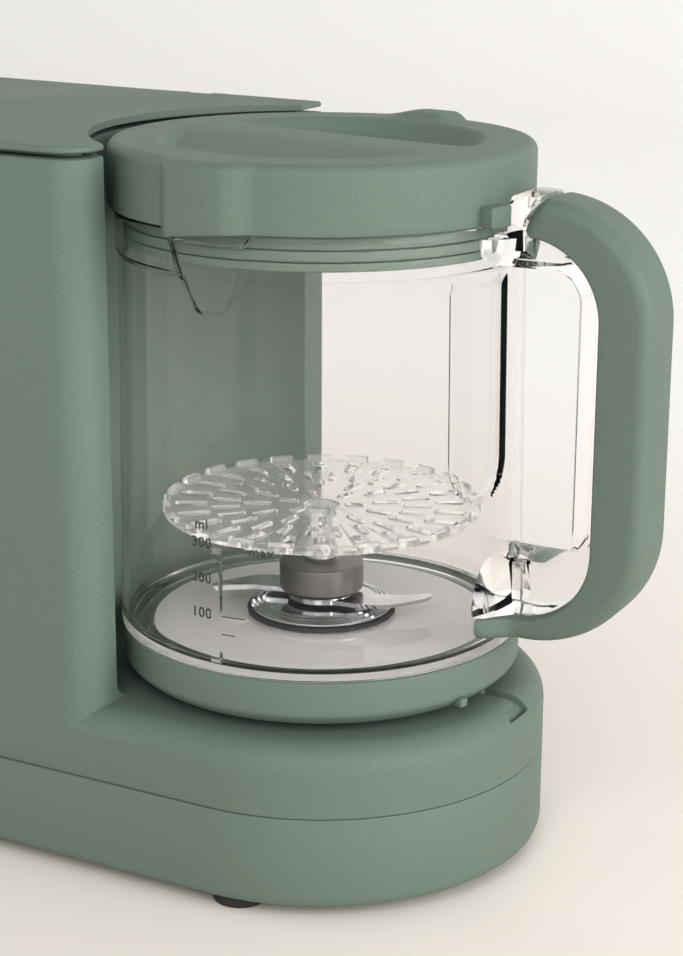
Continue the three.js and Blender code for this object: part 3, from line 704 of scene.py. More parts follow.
POINTER_HALF_WIDTH, POINTER_START, POINTER_END = 0.7, 8, 14
pointer = slab(
    "knob_pointer",
    rounded_box(
        (knob_x - POINTER_HALF_WIDTH, knob_z + POINTER_START),
        (knob_x + POINTER_HALF_WIDTH, knob_z + POINTER_END),
        0.6,
    ),
    face_y - 0.05,
    face_y + 0.3,
)
finish_piece(pointer, light_guide, "knob")
ring_radius = ring_high.x - knob_x
ring = drum("knob_ring", [
    (knob_radius + 0.5, ring_high.y), (ring_radius, ring_high.y), (ring_radius, ring_low.y + 0.3),
    (ring_radius - 0.3, ring_low.y), (knob_radius + 0.8, ring_low.y),
    (knob_radius + 0.5, ring_low.y + 0.3),
], knob_x, knob_z)
finish_piece(ring, light_guide, "housing", ["indicator_ring"])

# ---- Jug: wall with its channel, rib and spout, one closed skin ----
CHANNEL_ANGLE = -12
CHANNEL_HALF = 12.2
CHANNEL_FOOT_Z = 113
CHANNEL_DEPTH = 1.6
CHANNEL_EDGE = 1.2
SPOUT_ANGLE = -92.2
SPOUT_TIP_Z = 166.5
SPOUT_LIP_Z = 187.3
SPOUT_REACH = 3.0
SPOUT_HALF = 13.2
RIB_ANGLE = -90
RIB_HALF = 1.8
RIB_HEIGHT = 1.0
RIB_LOW_Z, RIB_HIGH_Z = 71, 104


def channel_depth(z, angle):
    across = math.radians(angle - CHANNEL_ANGLE) * JUG_RADIUS
    below = max(0, CHANNEL_FOOT_Z + CHANNEL_HALF - z)
    inside = CHANNEL_HALF - math.hypot(across, below)
    fade = 1 - smooth(z, STEP_Z - 5, STEP_Z - 0.5)
    return CHANNEL_DEPTH * smooth(inside, 0, CHANNEL_EDGE) * fade


def spout_bulge(z, angle):
    rise = min(1, max(0, (z - SPOUT_TIP_Z) / (SPOUT_LIP_Z - SPOUT_TIP_Z)))
    half = SPOUT_HALF * math.sqrt(rise)
    if half == 0:
        return 0
    across = 1 - smooth(abs(angle - SPOUT_ANGLE), half * 0.7, half)
    return (0.7 + 0.3 * rise) * SPOUT_REACH * across * smooth(rise, 0, 0.2)


def rib_height(z, angle):
    away = abs(angle - RIB_ANGLE)
    along = smooth(z, RIB_LOW_Z, RIB_LOW_Z + 1.5) * (1 - smooth(z, RIB_HIGH_Z - 1.5, RIB_HIGH_Z))
    return RIB_HEIGHT * (1 - smooth(away, RIB_HALF * 0.75, RIB_HALF)) * along


def wall_rows(low, high, step):
    """Even steps from low to high, each close to step."""
    count = max(1, round((high - low) / step))
    return [low + (high - low) * i / count for i in range(count + 1)]


def wall_radius(z):
    if z <= STEP_Z:
        share = (z - FLOOR_Z) / (STEP_Z - FLOOR_Z)
        return JUG_RADIUS + (WALL_TOP_RADIUS - JUG_RADIUS) * share
    return WALL_TOP_RADIUS + (RIM_RADIUS - WALL_TOP_RADIUS) * smooth(z, STEP_Z, STEP_Z + 1.2)


FOOT_RADIUS = 55.9
FROST_RADIUS = 49.5
BEARING_HOLE = 11
FOOT_RING_Z = 58
FOOT_RING_INNER = FOOT_RADIUS - 2.4
UNDERSIDE_Z = FLOOR_Z - 2.6
upper_z = [
    *wall_rows(CHANNEL_FOOT_Z, 127, 0.7), *wall_rows(130, 164, 4), *wall_rows(165, STEP_Z, 1),
    *wall_rows(STEP_Z + 0.3, RIM_Z - 0.7, 1.1),
]
outside_z = [*wall_rows(FLOOR_Z + 1, 104, 1.5), *wall_rows(105, 112, 1.5), *upper_z]
inside_z = [*wall_rows(FLOOR_Z + 6, 112, 4), *upper_z]
foot_profile = softened([
    (BEARING_HOLE, UNDERSIDE_Z, 0.3), (FROST_RADIUS, UNDERSIDE_Z, 0),
    (FOOT_RING_INNER, UNDERSIDE_Z, 0.3), (FOOT_RING_INNER, FOOT_RING_Z, 0.5),
    (FOOT_RADIUS, FOOT_RING_Z, 0.5), (FOOT_RADIUS, SKIRT_TOP_Z + GAP, 0.2),
    (JUG_RADIUS - 0.1, SKIRT_TOP_Z + GAP, 0.9), (JUG_RADIUS, FLOOR_Z + 1, 0),
], steps=4)[:-1]
outer_wall = [(wall_radius(z), z) for z in outside_z]
rim = [(RIM_RADIUS - 0.2, RIM_Z - 0.2), (RIM_RADIUS - 0.7, RIM_Z),
       (RIM_RADIUS - JUG_WALL + 0.7, RIM_Z), (RIM_RADIUS - JUG_WALL + 0.2, RIM_Z - 0.2)]
inner_wall = [(wall_radius(z) - JUG_WALL, z) for z in reversed(inside_z)]
FLOOR_CORNER = 5
corner_centre = JUG_RADIUS - JUG_WALL - FLOOR_CORNER
floor_corner = arc(corner_centre, FLOOR_Z + FLOOR_CORNER, FLOOR_CORNER, 0, -90, 10)
jug_profile = [
    *foot_profile, *outer_wall, *rim, *inner_wall, *floor_corner, (BEARING_HOLE, FLOOR_Z),
]
first_wall = len(foot_profile)
first_inner = first_wall + len(outer_wall) + len(rim)
last_wall = first_inner + len(inner_wall)


def jug_shape(radius, z, angle, index):
    """Adds the channel, the rib and the spout to the wall."""
    if not first_wall <= index < last_wall:
        return radius, z
    bulge = spout_bulge(z, angle)
    new_radius = radius - channel_depth(z, angle) + bulge
    if index < first_inner:
        new_radius += rib_height(z, angle)
    lowered = smooth(bulge, 0.4, 1.6) * (RIM_Z - SPOUT_LIP_Z)
    return new_radius, z - lowered * smooth(z, RIM_Z - 4, RIM_Z)


def jug_turns():
    """Turns round the jug, closer together across the channel's edges and the spout."""
    channel_half = math.degrees(CHANNEL_HALF / JUG_RADIUS)
    turns = set(even_turns(360))
    for middle in (CHANNEL_ANGLE - channel_half + 0.6, CHANNEL_ANGLE + channel_half - 0.6):
        turns.update(wall_rows(middle - 1.2, middle + 1.2, 0.13))
    turns.update(wall_rows(SPOUT_ANGLE - SPOUT_HALF - 1, SPOUT_ANGLE + SPOUT_HALF + 1, 0.33))
    ordered = sorted(turns)
    return [turn for turn, after in zip(ordered, ordered[1:] + [181]) if after - turn > 0.05]


jug = revolved("jug_skin", jug_profile, jug_shape, jug_turns())

# Clear frame inside the handle grip
FRAME_HALF = 8
FRAME_RIGHT_X = grip_high.x - 15.3
FRAME_LOW_Z, FRAME_HIGH_Z = 80.3, 186.7
HOLE_RIGHT_X = JUG_X + 81.5
HOLE_LOW_Z, HOLE_HIGH_Z = 97, 178


def handle_outline(left_x, right_x, low_z, high_z, corner):
    return [
        (left_x, low_z),
        *arc(right_x - corner, low_z + corner, corner, -90, 0, 16),
        *arc(right_x - corner, high_z - corner, corner, 0, 90, 16),
        (left_x, high_z),
    ]


clear_frame = slab(
    "clear_frame",
    handle_outline(JUG_X + 45, FRAME_RIGHT_X, FRAME_LOW_Z, FRAME_HIGH_Z, 21.7),
    -FRAME_HALF,
    FRAME_HALF,
)
hand_hole = slab(
    "hand_hole",
    handle_outline(JUG_X + 40, HOLE_RIGHT_X, HOLE_LOW_Z, HOLE_HIGH_Z, 8),
    -FRAME_HALF - 1,
    FRAME_HALF + 1,
)
combine(clear_frame, hand_hole)
round_edges(clear_frame, 1.8, 3)


def arched_root(name, flat_z, tip_z, flare=8):
    """Where an arm meets the jug: wide at flat_z and narrowing to the arm at tip_z."""
    steps = 8
    rings = []
    for i in range(steps + 1):
        share = math.sin(math.pi / 2 * i / steps)
        wide = FRAME_HALF - 0.5 + flare * math.sqrt(max(0, 1 - share * share))
        near, far = JUG_X + 54, JUG_X + 66 - 2 * share
        narrow = FRAME_HALF - 0.6
        outline = [
            (near, -wide - 2), (JUG_X + 59.5, -wide), (JUG_X + 62.5, -(wide + narrow) / 2),
            (far, -narrow), (far, narrow), (JUG_X + 62.5, (wide + narrow) / 2),
            (JUG_X + 59.5, wide), (near, wide + 2),
        ]
        rings.append(at_height(outline, flat_z + (tip_z - flat_z) * share))
    if tip_z < flat_z:
        rings.reverse()
    return lofted(name, rings)


combine(clear_frame, arched_root("lower_root", FRAME_LOW_Z + 0.4, HOLE_LOW_Z - 0.4), "UNION")
combine(clear_frame, arched_root("upper_root", FRAME_HIGH_Z - 0.3, HOLE_HIGH_Z + 0.4), "UNION")
hook = slab(
    "hook",
    softened([
        (JUG_X + 55, 183, 0), (JUG_X + 66.2, 183, 0), (JUG_X + 65.8, 190, 1),
        (JUG_X + 66.4, 192.5, 2), (JUG_X + 70, 196.6, 0.5), (JUG_X + 69.4, 197.8, 0.4),
        (JUG_X + 62.6, 198, 1.5), (JUG_X + 61.2, 195, 1), (JUG_X + 61.2, 187, 1),
        (JUG_X + 55, 187, 0),
    ]),
    -9.6,
    FRAME_HALF,
)
round_edges(hook, 0.6, 2)
combine(clear_frame, hook, "UNION")
combine(clear_frame, jug_clearance("frame_end", JUG_RADIUS - 1.2, 60, top_z=200))
combine(jug, clear_frame, "UNION")
finish_piece(jug, clear, "jug", ["jug_body"], sharp=28)
jug.data.materials.append(frosted)
for face in jug.data.polygons:
    from_axis = math.hypot(face.center.x / MM - JUG_X, face.center.y / MM)
    faces_down = face.normal.z < -0.9
    if faces_down and from_axis < FROST_RADIUS and face.center.z / MM < FLOOR_Z:
        face.material_index = 1

# ---- Handle grip ----
GRIP_HALF = 10
GRIP_FOOT_X = JUG_X + 50
GRIP_OUTER, GRIP_INNER = 33, 22
GRIP_END_ANGLE = 84
GRIP_BAND_TOP = 10.5
GRIP_BAND_SIDE = 15
GRIP_BAND_FOOT = 6
GRIP_END_ROUND = 3.5
GRIP_OUTER_EDGE, GRIP_INNER_EDGE = 4.2, 0.8
GRIP_FLARE = 6  # how much wider the band is at its foot
GRIP_MIDDLE_Z = 90


def grip_stations():
    """Pairs of outer and inner (x, z) points along the band, from its foot to its upper end."""
    foot_z, top_z, far_x = grip_low.z, grip_high.z, grip_high.x
    outer_x = far_x - GRIP_OUTER
    outer_foot_z, outer_top_z = foot_z + GRIP_OUTER, top_z - GRIP_OUTER
    inner_x = far_x - GRIP_BAND_SIDE - GRIP_INNER
    inner_foot_z = foot_z + GRIP_BAND_FOOT + GRIP_INNER
    inner_top_z = top_z - GRIP_BAND_TOP - GRIP_INNER
    outer = [(x, foot_z) for x in wall_rows(GRIP_FOOT_X, outer_x, 1)][:-1]
    outer += arc(outer_x, outer_foot_z, GRIP_OUTER, -90, 0, 24)
    outer += [(far_x, z) for z in wall_rows(outer_foot_z, outer_top_z, 4)][1:-1]
    outer += arc(outer_x, outer_top_z, GRIP_OUTER, 0, GRIP_END_ANGLE, 24)
    inner = arc(inner_x, inner_foot_z, GRIP_INNER, -90, 0, 24)
    side_x = far_x - GRIP_BAND_SIDE
    inner_side = [(side_x, z) for z in wall_rows(inner_foot_z, inner_top_z, 4)][1:-1]
    inner_top = arc(inner_x, inner_top_z, GRIP_INNER, 0, GRIP_END_ANGLE, 24)
    foot_count = len(outer) - len(inner) - len(inner_side) - len(inner_top)
    foot_step = (inner_x - GRIP_FOOT_X) / foot_count
    inner_z = foot_z + GRIP_BAND_FOOT
    inner_foot = [(GRIP_FOOT_X + foot_step * i, inner_z) for i in range(foot_count)]
    return list(zip(outer, inner_foot + inner + inner_side + inner_top))


def grip_ring(outer, inner, drawn_in=0.0, half_width=GRIP_HALF):
    """One rounded cross-section of the band."""
    outer, inner = Vector(outer), Vector(inner)
    depth = (outer - inner).length
    half = half_width - drawn_in
    section = softened([
        (drawn_in, -half, GRIP_INNER_EDGE), (depth - drawn_in, -half, GRIP_OUTER_EDGE),
        (depth - drawn_in, half, GRIP_OUTER_EDGE), (drawn_in, half, GRIP_INNER_EDGE),
    ], steps=8)
    ring = []
    for out, across in section:
        place = inner.lerp(outer, out / depth)
        ring.append((place.x, across, place.y))
    return ring


grip_rings = []
for outer, inner in grip_stations():
    root = smooth(-outer[0], -JUG_X - 68, -JUG_X - 57) if outer[1] < GRIP_MIDDLE_Z else 0
    grip_rings.append(grip_ring(outer, inner, half_width=GRIP_HALF + GRIP_FLARE * root))
end_outer, end_inner = [Vector(point) for point in grip_stations()[-1]]
for i in range(1, 9):
    turn = math.radians(82) * i / 8
    ahead = Vector((1, -0.17)) * GRIP_END_ROUND * math.sin(turn)
    drawn_in = GRIP_END_ROUND * (1 - math.cos(turn))
    grip_rings.append(grip_ring(end_outer - ahead, end_inner - ahead, drawn_in))
grip = lofted("grip_skin", grip_rings)
combine(grip, jug_clearance("grip_end", JUG_RADIUS + 0.3, 60, top_z=170))
finish_piece(grip, sage_grip, "jug", ["handle_grip"], sharp=50)

# ---- Skirt ----
SKIRT_HOLE = 28
SKIRT_PLATE_Z = 57.5
SKIRT_BORE = FOOT_RADIUS + GAP
skirt_profile = softened([
    (SKIRT_HOLE, SEAT_Z + GAP, 0.4), (55, SEAT_Z + GAP, 2), (SKIRT_RADIUS, SEAT_Z + 3.4, 3),
    (SKIRT_RADIUS, SKIRT_TOP_Z, 0.7), (SKIRT_BORE, SKIRT_TOP_Z, 0.2),
    (SKIRT_BORE, SKIRT_PLATE_Z, 0.2), (SKIRT_HOLE, SKIRT_PLATE_Z, 0.4),
])
skirt = revolved("skirt_ring", skirt_profile)
nub = prism("skirt_nub", sector(56, 59.8, -20.5, -18), SEAT_Z + 1.2, SEAT_Z + 3.6)
round_edges(nub, 0.5, 2)
combine(skirt, nub, "UNION")
finish_piece(skirt, sage, "jug", ["jug_skirt"])

# ---- Printed scale ----
INK_LIFT = 0.08
INK_RADIUS = JUG_RADIUS + INK_LIFT
INK_THICKNESS = 0.05
SCALE_MARKS = {50: 79.7, 100: 84.9, 200: 95.0, 250: 99.8, 300: 104.9}


def wrapped(piece, angle, z, radius=INK_RADIUS):
    """Lays a flat drawing, in millimetres, on the jug's wall."""
    for point in piece.data.vertices:
        across, up, out = point.co
        lifted = wall_radius(z + up) - JUG_RADIUS + radius + out
        turn = math.radians(angle) + across / radius
        place = (JUG_X + lifted * math.cos(turn), lifted * math.sin(turn), z + up)
        point.co = Vector(place) * MM


def printed(name, text, size, angle, z, align="RIGHT"):
    curve = bpy.data.curves.new(name, "FONT")
    curve.body = text
    curve.size = size
    curve.align_x = align
    curve.extrude = INK_THICKNESS
    curve.offset = 0.05
    curve.space_character = 1.12
    letters = in_scene(name, curve)
    bpy.context.view_layer.update()
    graph = bpy.context.evaluated_depsgraph_get()
    mesh = bpy.data.meshes.new_from_object(letters.evaluated_get(graph))
    bpy.data.objects.remove(letters)
    piece = in_scene(name, mesh)
    wrapped(piece, angle, z)
    finish_piece(piece, ink, "jug")


def tick(name, z, start, end, thickness=0.28):
    steps = 8
    radius = wall_radius(z) + INK_LIFT
    outline = arc(JUG_X, 0, radius + INK_THICKNESS, start, end, steps)
    outline += arc(JUG_X, 0, radius, end, start, steps)
    finish_piece(prism(name, outline, z - thickness / 2, z + thickness / 2), ink, "jug")


for amount, z in SCALE_MARKS.items():
    numbered = amount % 100 == 0
    tick(f"tick_{amount}", z, -88.4, -81.7 if numbered else -84.5)
    if numbered:
        printed(f"number_{amount}", str(amount), 4.1, -91.6, z - 1.4)
printed("unit_ml", "ml", 4.3, -92.6, 108.6)
printed("mark_max", "max", 4.0, -80.6, 103.0, align="LEFT")

# ---- Blades, hub and bearing ----
gasket_high = extent("bearing_gasket")[1]
FLANGE_RADIUS = (bearing_high.x - bearing_low.x) / 2
SHAFT_HOLE = 3.4
BEARING_RADIUS = 10.5
flange_z = gasket_high.z + GAP
flange_top_z = bearing_high.z
bearing_profile = [
    (SHAFT_HOLE, bearing_low.z), (BEARING_RADIUS, bearing_low.z), (BEARING_RADIUS, flange_z),
    (FLANGE_RADIUS - 0.3, flange_z), (FLANGE_RADIUS, flange_z + 0.3),
    (FLANGE_RADIUS, flange_z + 0.8),
]
FLANGE_RINGS = 3
RING_PITCH = 1.5
for i in range(FLANGE_RINGS):
    ring_radius = FLANGE_RADIUS - 0.4 - RING_PITCH * i
    ring_z = flange_z + 1.3 + (flange_top_z - flange_z - 1.3) * i / (FLANGE_RINGS - 1)
    bearing_profile += [
        (ring_radius, ring_z - 0.2), (ring_radius - 0.2, ring_z), (ring_radius - 0.8, ring_z),
        (ring_radius - 1.0, ring_z - 0.25),
    ]
bearing_profile += [(FLANGE_RADIUS - 6, flange_top_z - 0.3), (SHAFT_HOLE, flange_top_z - 0.3)]
finish_piece(revolved("bearing_flange", bearing_profile), polished, "jug", ["blade_bearing"])
HUB_RADIUS = (hub_high.x - hub_low.x) / 2
hub_profile = softened([
    (3.3, hub_low.z, 0.2), (HUB_RADIUS - 0.6, hub_low.z, 0.4), (HUB_RADIUS, hub_low.z + 0.8, 0.4),
    (HUB_RADIUS, hub_high.z - 1.3, 0.3), (HUB_RADIUS - 0.4, hub_high.z - 0.9, 0.3),
    (5.4, hub_high.z - 0.9, 0.6), (4.2, hub_high.z, 0.4), (3.3, hub_high.z, 0.2),
])
hub = revolved("hub_cap", hub_profile, turns=even_turns(128))
finish_piece(hub, brushed, "blades", ["blade_hub"])
blade_outline = arc(0, 0, 9, 20, -50, 12) + [
    (14, -6.5), (19, -5), (23.5, -2.6), (27, 2), (30, 7), (31.5, 11), (30, 13), (25, 9), (20, 6),
]
BLADE_THICKNESS = 1.4
WING_START = 12


def wing(name, turn_degrees):
    """One swept wing, drawn in a little at its lower face."""
    turn = math.radians(turn_degrees)
    rings = []
    for level, drawn_in in ((0, 0.96), (BLADE_THICKNESS, 1.0)):
        ring = []
        for x, y in blade_outline:
            share = drawn_in if x > WING_START else 1
            turned_x = (x * math.cos(turn) - y * math.sin(turn)) * share
            turned_y = (x * math.sin(turn) + y * math.cos(turn)) * share
            ring.append((JUG_X + turned_x, turned_y, blade_low.z + level))
        rings.append(ring)
    return lofted(name, rings)


blade_foot = corners((SHAFT_HOLE, blade_low.z), (10, blade_high.z))
blade = revolved("blade_pair", blade_foot, turns=even_turns(96))
combine(blade, wing("wing_a", 0), "UNION")
combine(blade, wing("wing_b", 180), "UNION")
finish_piece(blade, polished, "blades", ["cutting_blade"])

# ---- Perforated disc ----
TOOTH_HEIGHT = 1.6
PLATE_THICKNESS = 1.6
PLATE_TOP_Z = disc_high.z - TOOTH_HEIGHT
PLATE_LOW_Z = PLATE_TOP_Z - PLATE_THICKNESS
POST_RADIUS, POST_WAIST = 4.6, 3.2
SOCKET_RADIUS = 3.3
socket_z = disc_low.z + 1.6
disc_profile = [(0, socket_z), *softened([
    (SOCKET_RADIUS, socket_z, 0), (SOCKET_RADIUS, disc_low.z, 0.2),
    (POST_RADIUS, disc_low.z, 0.3), (POST_RADIUS, disc_low.z + 4, 0.3),
    (POST_WAIST, disc_low.z + 5, 0.3), (POST_WAIST, PLATE_LOW_Z - 3, 0.3),
    (POST_RADIUS, PLATE_LOW_Z, 1.5), (DISC_RADIUS - 0.6, PLATE_LOW_Z, 0.4),
    (DISC_RADIUS, PLATE_LOW_Z + 0.6, 0.4), (DISC_RADIUS, disc_high.z, 0.6),
    (DISC_RADIUS - 1.8, disc_high.z, 0.6), (DISC_RADIUS - 2.2, PLATE_TOP_Z, 0.4),
]), (0, PLATE_TOP_Z)]
disc = revolved("disc_skin", disc_profile)


def slot_outline(angle, inner, outer, half_width):
    """A radial slot with round ends."""
    turn = math.radians(angle)
    straight = arc(outer, 0, half_width, -90, 90, 6) + arc(inner, 0, half_width, 90, 270, 6)
    return [
        (JUG_X + x * math.cos(turn) - y * math.sin(turn), x * math.sin(turn) + y * math.cos(turn))
        for x, y in straight
    ]


for name, count, offset, inner, outer, half_width in (
    ("outer_slots", 24, 0, 35, 41.5, 1.6),
    ("middle_slots", 24, 7.5, 25, 31.5, 1.1),
    ("inner_slots", 12, 0, 16, 22, 1.2),
    ("centre_slots", 6, 15, 8, 12, 1.1),
):
    for i in range(count):
        outline = slot_outline(offset + 360 * i / count, inner, outer, half_width)
        combine(disc, prism(f"{name}_{i}", outline, PLATE_LOW_Z - 1, disc_high.z + 1))
TEETH = 24
TOOTH_GAP_HALF = 2.6
for i in range(TEETH):
    angle = (i + 0.5) * 360 / TEETH
    outline = slot_outline(angle, DISC_RADIUS - 1.5, DISC_RADIUS + 3, TOOTH_GAP_HALF)
    combine(disc, prism(f"rim_gap_{i}", outline, PLATE_TOP_Z - 0.2, disc_high.z + 1))
finish_piece(disc, clear_disc, "disc", ["blending_disc"])

# ---- Lid: collar, seal and cap ----
COLLAR_INNER, COLLAR_OUTER = 53, 55.6
COLLAR_HOLE = 4.3
COLLAR_TOP_Z, COLLAR_ROOF_Z = 189.4, 187.2
GROOVE_RADIUS, GROOVE_LOW_Z, GROOVE_HIGH_Z = 54.4, 182.5, 186
collar_profile = softened([
    (COLLAR_INNER, collar_low.z, 0.4), (COLLAR_OUTER, collar_low.z, 0.5),
    (COLLAR_OUTER, GROOVE_LOW_Z, 0.2), (GROOVE_RADIUS, GROOVE_LOW_Z, 0.1),
    (GROOVE_RADIUS, GROOVE_HIGH_Z, 0.1), (COLLAR_OUTER, GROOVE_HIGH_Z, 0.2),
    (COLLAR_OUTER, COLLAR_TOP_Z, 0.3), (COLLAR_HOLE, COLLAR_TOP_Z, 0.1),
    (COLLAR_HOLE, COLLAR_ROOF_Z, 0.1), (COLLAR_INNER, COLLAR_ROOF_Z, 0.8),
])
collar = revolved("collar_skin", collar_profile)
STEAM_HOLES = 4
STEAM_CIRCLE, STEAM_HOLE_RADIUS = 28, 3.4
for i in range(STEAM_HOLES):
    turn = math.radians(360 / STEAM_HOLES * i)
    cx, cy = JUG_X + STEAM_CIRCLE * math.cos(turn), STEAM_CIRCLE * math.sin(turn)
    outline = arc(cx, cy, STEAM_HOLE_RADIUS, 0, 360, 32)[:-1]
    combine(collar, prism(f"steam_hole_{i}", outline, 180, 195))
finish_piece(collar, sage, "lid", ["lid_collar"])
seal_low, seal_high = extent("lid_seal")
seal_radius = seal_high.x - JUG_X
seal_middle_z = (seal_low.z + seal_high.z) / 2
SEAL_INNER = GROOVE_RADIUS + GAP
seal_profile = softened([
    (SEAL_INNER, seal_low.z, 0.1), (seal_radius, seal_low.z, 0.9), (seal_radius, seal_middle_z, 0),
    (seal_radius, seal_high.z, 0.9), (SEAL_INNER, seal_high.z, 0.1),
])
finish_piece(revolved("seal_ring", seal_profile), sage, "lid", ["lid_seal"])

BAR_ANGLE = -10
HOLLOW_DEPTH = 5
HOLLOW_RADIUS = 46
HOLLOW_WALL = 5
BAR_HALF = 8
RAMP = 26
COVER_LEFT, COVER_RIGHT = -106, -77.5
COVER_REACH = 3.2
COVER_DROP = 2.6
TAB_LEFT, TAB_RIGHT = 72, 99
TAB_LIFT = 2.2
EDGE_RADIUS = 3


def hollow(radius, angle):
    """How deep the finger hollows are on either side of the bar."""
    turn = math.radians(angle - BAR_ANGLE)
    across = abs(radius * math.sin(turn))
    side_wall = 1 - smooth(radius, HOLLOW_RADIUS - HOLLOW_WALL, HOLLOW_RADIUS)
    return HOLLOW_DEPTH * smooth(across, BAR_HALF - 4, BAR_HALF + RAMP) * side_wall


def cover_share(angle):
    """How far the spout cover stands out: abrupt on its left, eased on its right."""
    left = smooth(angle, COVER_LEFT - 0.5, COVER_LEFT + 5)
    return left * (1 - smooth(angle, COVER_RIGHT - 9, COVER_RIGHT))


def cover_drop(angle):
    """How far the spout cover reaches down: most at its left end."""
    left = smooth(angle, COVER_LEFT, COVER_LEFT + 1)
    return left * (1 - smooth(angle, COVER_LEFT - 6, COVER_LEFT + 24))


def tab_share(angle):
    """How far the thumb tab stands out: abrupt at its start, eased at its end."""
    start = smooth(angle, TAB_LEFT - 1, TAB_LEFT + 4)
    return start * (1 - smooth(angle, TAB_RIGHT - 14, TAB_RIGHT + 1))


edge = arc(LID_RADIUS - EDGE_RADIUS, LID_TOP_Z - EDGE_RADIUS, EDGE_RADIUS, 90, 0, 8)
top_radii = wall_rows(1, 38, 2) + wall_rows(39, 48, 0.6) + wall_rows(49, 56, 1)
top_rows = [(radius, LID_TOP_Z) for radius in top_radii]
side_z = wall_rows(CAP_BOTTOM_Z + 0.5, LID_TOP_Z - EDGE_RADIUS - 1, 1.5)
side_rows = [(LID_RADIUS, z) for z in side_z]
CAP_ROOF_Z = 200.8
CAP_INNER = LID_RADIUS - 2.2
cap_profile = [
    (0, CAP_ROOF_Z), (CAP_INNER, CAP_ROOF_Z), (CAP_INNER, CAP_BOTTOM_Z + 0.2),
    (LID_RADIUS - 2, CAP_BOTTOM_Z), (LID_RADIUS - 0.5, CAP_BOTTOM_Z),
    (LID_RADIUS - 0.15, CAP_BOTTOM_Z + 0.15), *side_rows, *reversed(edge),
    *reversed(top_rows), (0, LID_TOP_Z),
]
ROOF_POINTS = 2  # the first points of the profile, which stay where they are


def cap_shape(radius, z, angle, index):
    """Adds the spout cover, the thumb tab and the finger hollows to the cap."""
    share = cover_share(angle)
    tab = tab_share(angle) * smooth(radius, 46, 51)
    if z > CAP_ROOF_Z:
        lift = TAB_LIFT * tab * smooth(z, LID_TOP_Z - 3, LID_TOP_Z)
        outward = COVER_REACH * share * smooth(radius, LID_RADIUS - 5, LID_RADIUS)
        sink = hollow(radius, angle) if z == LID_TOP_Z else 0
        return radius + outward + tab * smooth(radius, 57, 60), z + lift - sink
    if index < ROOF_POINTS:
        return radius, z
    low = 1 - smooth(z, CAP_BOTTOM_Z, CAP_BOTTOM_Z + 4)
    return radius + COVER_REACH * share, z - COVER_DROP * cover_drop(angle) * low


cap = revolved("cap_skin", cap_profile, cap_shape, even_turns(480))
lug = prism("lug", sector(57, 64.4, -17.5, -10.2), CAP_BOTTOM_Z, 195.6)
round_edges(lug, 0.8, 3)
combine(cap, lug, "UNION")
finish_piece(cap, sage, "cap", ["lid_cap"], sharp=60)

# ---- Stage, light and camera ----
# Painted light: the floor's colour runs from a darker, warmer tone near the camera to a lighter one
# further back.
FLOOR_NEAR, FLOOR_FAR = (0.92, 0.86, 0.80), (0.97, 0.96, 0.945)
FLOOR_NEAR_Y, FLOOR_FAR_Y = -0.2, 0.9


def pale_floor():
    """A matt floor with painted light: its colour grows lighter away from the camera, towards the
    backdrop.
    """
    material, shader = new_material("pale_floor", FLOOR_NEAR, 0.7)
    tree = material.node_tree
    place = tree.nodes.new("ShaderNodeTexCoord")
    split = tree.nodes.new("ShaderNodeSeparateXYZ")
    tree.links.new(place.outputs["Object"], split.inputs["Vector"])
    away = map_range(tree, split.outputs["Y"], FLOOR_NEAR_Y, FLOOR_FAR_Y)
    tint(material, away, FLOOR_NEAR, FLOOR_FAR, shader.inputs["Base Color"])
    return material


def stage_sheet():
    """A floor that curves up into a wall behind, far from the object."""
    half, wall_y, bend, top = 4000, 2600, 900, 2600
    path = [(-3000, 0), (wall_y - bend, 0)]
    path += arc(wall_y - bend, bend, bend, -90, 0, 24)[1:]
    path.append((wall_y, top))
    points = [(x, y, z) for y, z in path for x in (-half, half)]
    faces = [(2 * i, 2 * i + 1, 2 * i + 3, 2 * i + 2) for i in range(len(path) - 1)]
    sheet = add_mesh("floor", points, faces)
    for face in sheet.data.polygons:
        face.use_smooth = True
    sheet.data.materials.append(pale_floor())


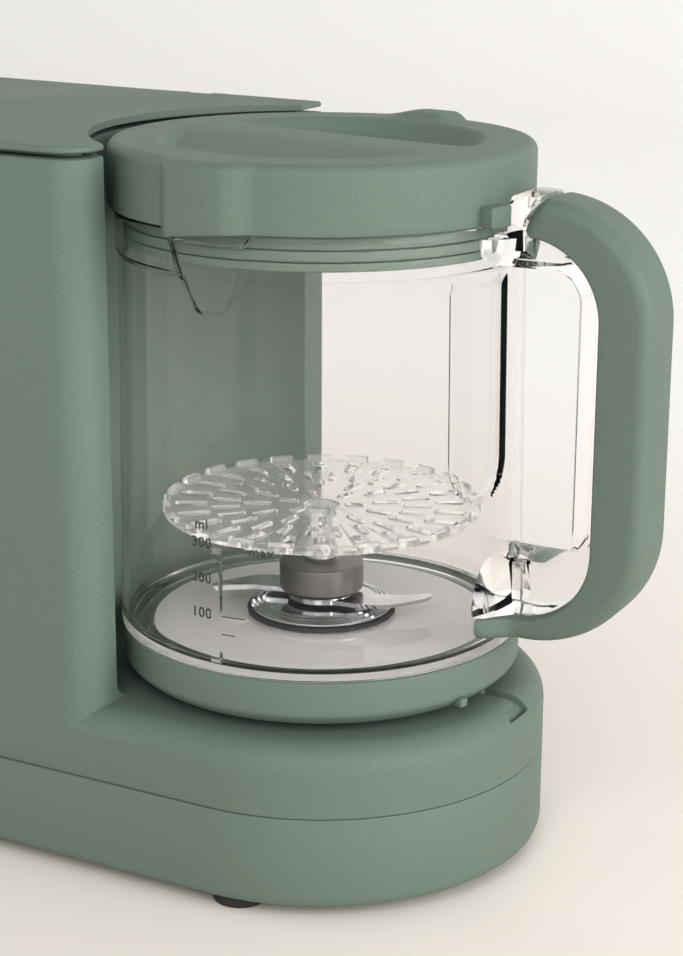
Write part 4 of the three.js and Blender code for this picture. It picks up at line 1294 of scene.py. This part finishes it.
def soft_light(name, place, target, size, power, colour=(1, 1, 1)):
    lamp = bpy.data.lights.new(name, "AREA")
    lamp.shape = "DISK"
    lamp.size = size
    lamp.energy = power
    lamp.color = colour
    holder = in_scene(name, lamp)
    holder.location = place
    holder.rotation_euler = (Vector(target) - Vector(place)).to_track_quat("-Z", "Y").to_euler()


HORIZON_STRENGTH, ZENITH_STRENGTH = 1.0, 0.32
FADE_START, FADE_END = 0.3, 1.0  # the upward part of a direction


def studio_world():
    """Even light from all round, weaker from overhead."""
    world = bpy.data.worlds.new("studio")
    bpy.context.scene.world = world
    world.use_nodes = True
    tree = world.node_tree
    sky = tree.nodes["Background"]
    sky.inputs["Color"].default_value = (1.0, 0.985, 0.97, 1)
    around = tree.nodes.new("ShaderNodeTexCoord")
    split = tree.nodes.new("ShaderNodeSeparateXYZ")
    tree.links.new(around.outputs["Generated"], split.inputs["Vector"])
    strength = map_range(
        tree, split.outputs["Z"], FADE_START, FADE_END, HORIZON_STRENGTH, ZENITH_STRENGTH
    )
    tree.links.new(strength, sky.inputs["Strength"])


stage_sheet()
AIM = (0.03, 0, 0.1)
soft_light("key_light", (2.0, -0.25, 0.55), AIM, 1.6, 30, (1, 0.985, 0.97))
soft_light("front_light", (0.6, -1.7, 1.5), AIM, 1.4, 16, (1, 0.985, 0.96))
soft_light("wall_light", (0.2, 0.9, 2.0), (0.2, 2.6, 0.7), 1.5, 7)
studio_world()
paths = bpy.context.scene.cycles  # light passes through many clear walls
paths.max_bounces = 40
paths.transmission_bounces = 40
paths.transparent_max_bounces = 24
bpy.context.scene.view_settings.view_transform = "Standard"

CAMERA_PLACE = Vector((0.33202, -0.52942, 0.28482))
CAMERA_YAW, CAMERA_PITCH, CAMERA_ROLL = 28.42, -16.21, 0.283
camera_data = bpy.data.cameras.new("camera")
camera_data.lens = 81.29
camera_data.sensor_width = 36
camera_data.clip_end = 50
camera = in_scene("camera", camera_data)
turned = Matrix.Rotation(math.radians(CAMERA_YAW), 4, "Z")
tilted = Matrix.Rotation(math.radians(90 + CAMERA_PITCH), 4, "X")
rolled = Matrix.Rotation(math.radians(CAMERA_ROLL), 4, "Z")
camera.matrix_world = Matrix.Translation(CAMERA_PLACE) @ turned @ tilted @ rolled
bpy.context.scene.camera = camera
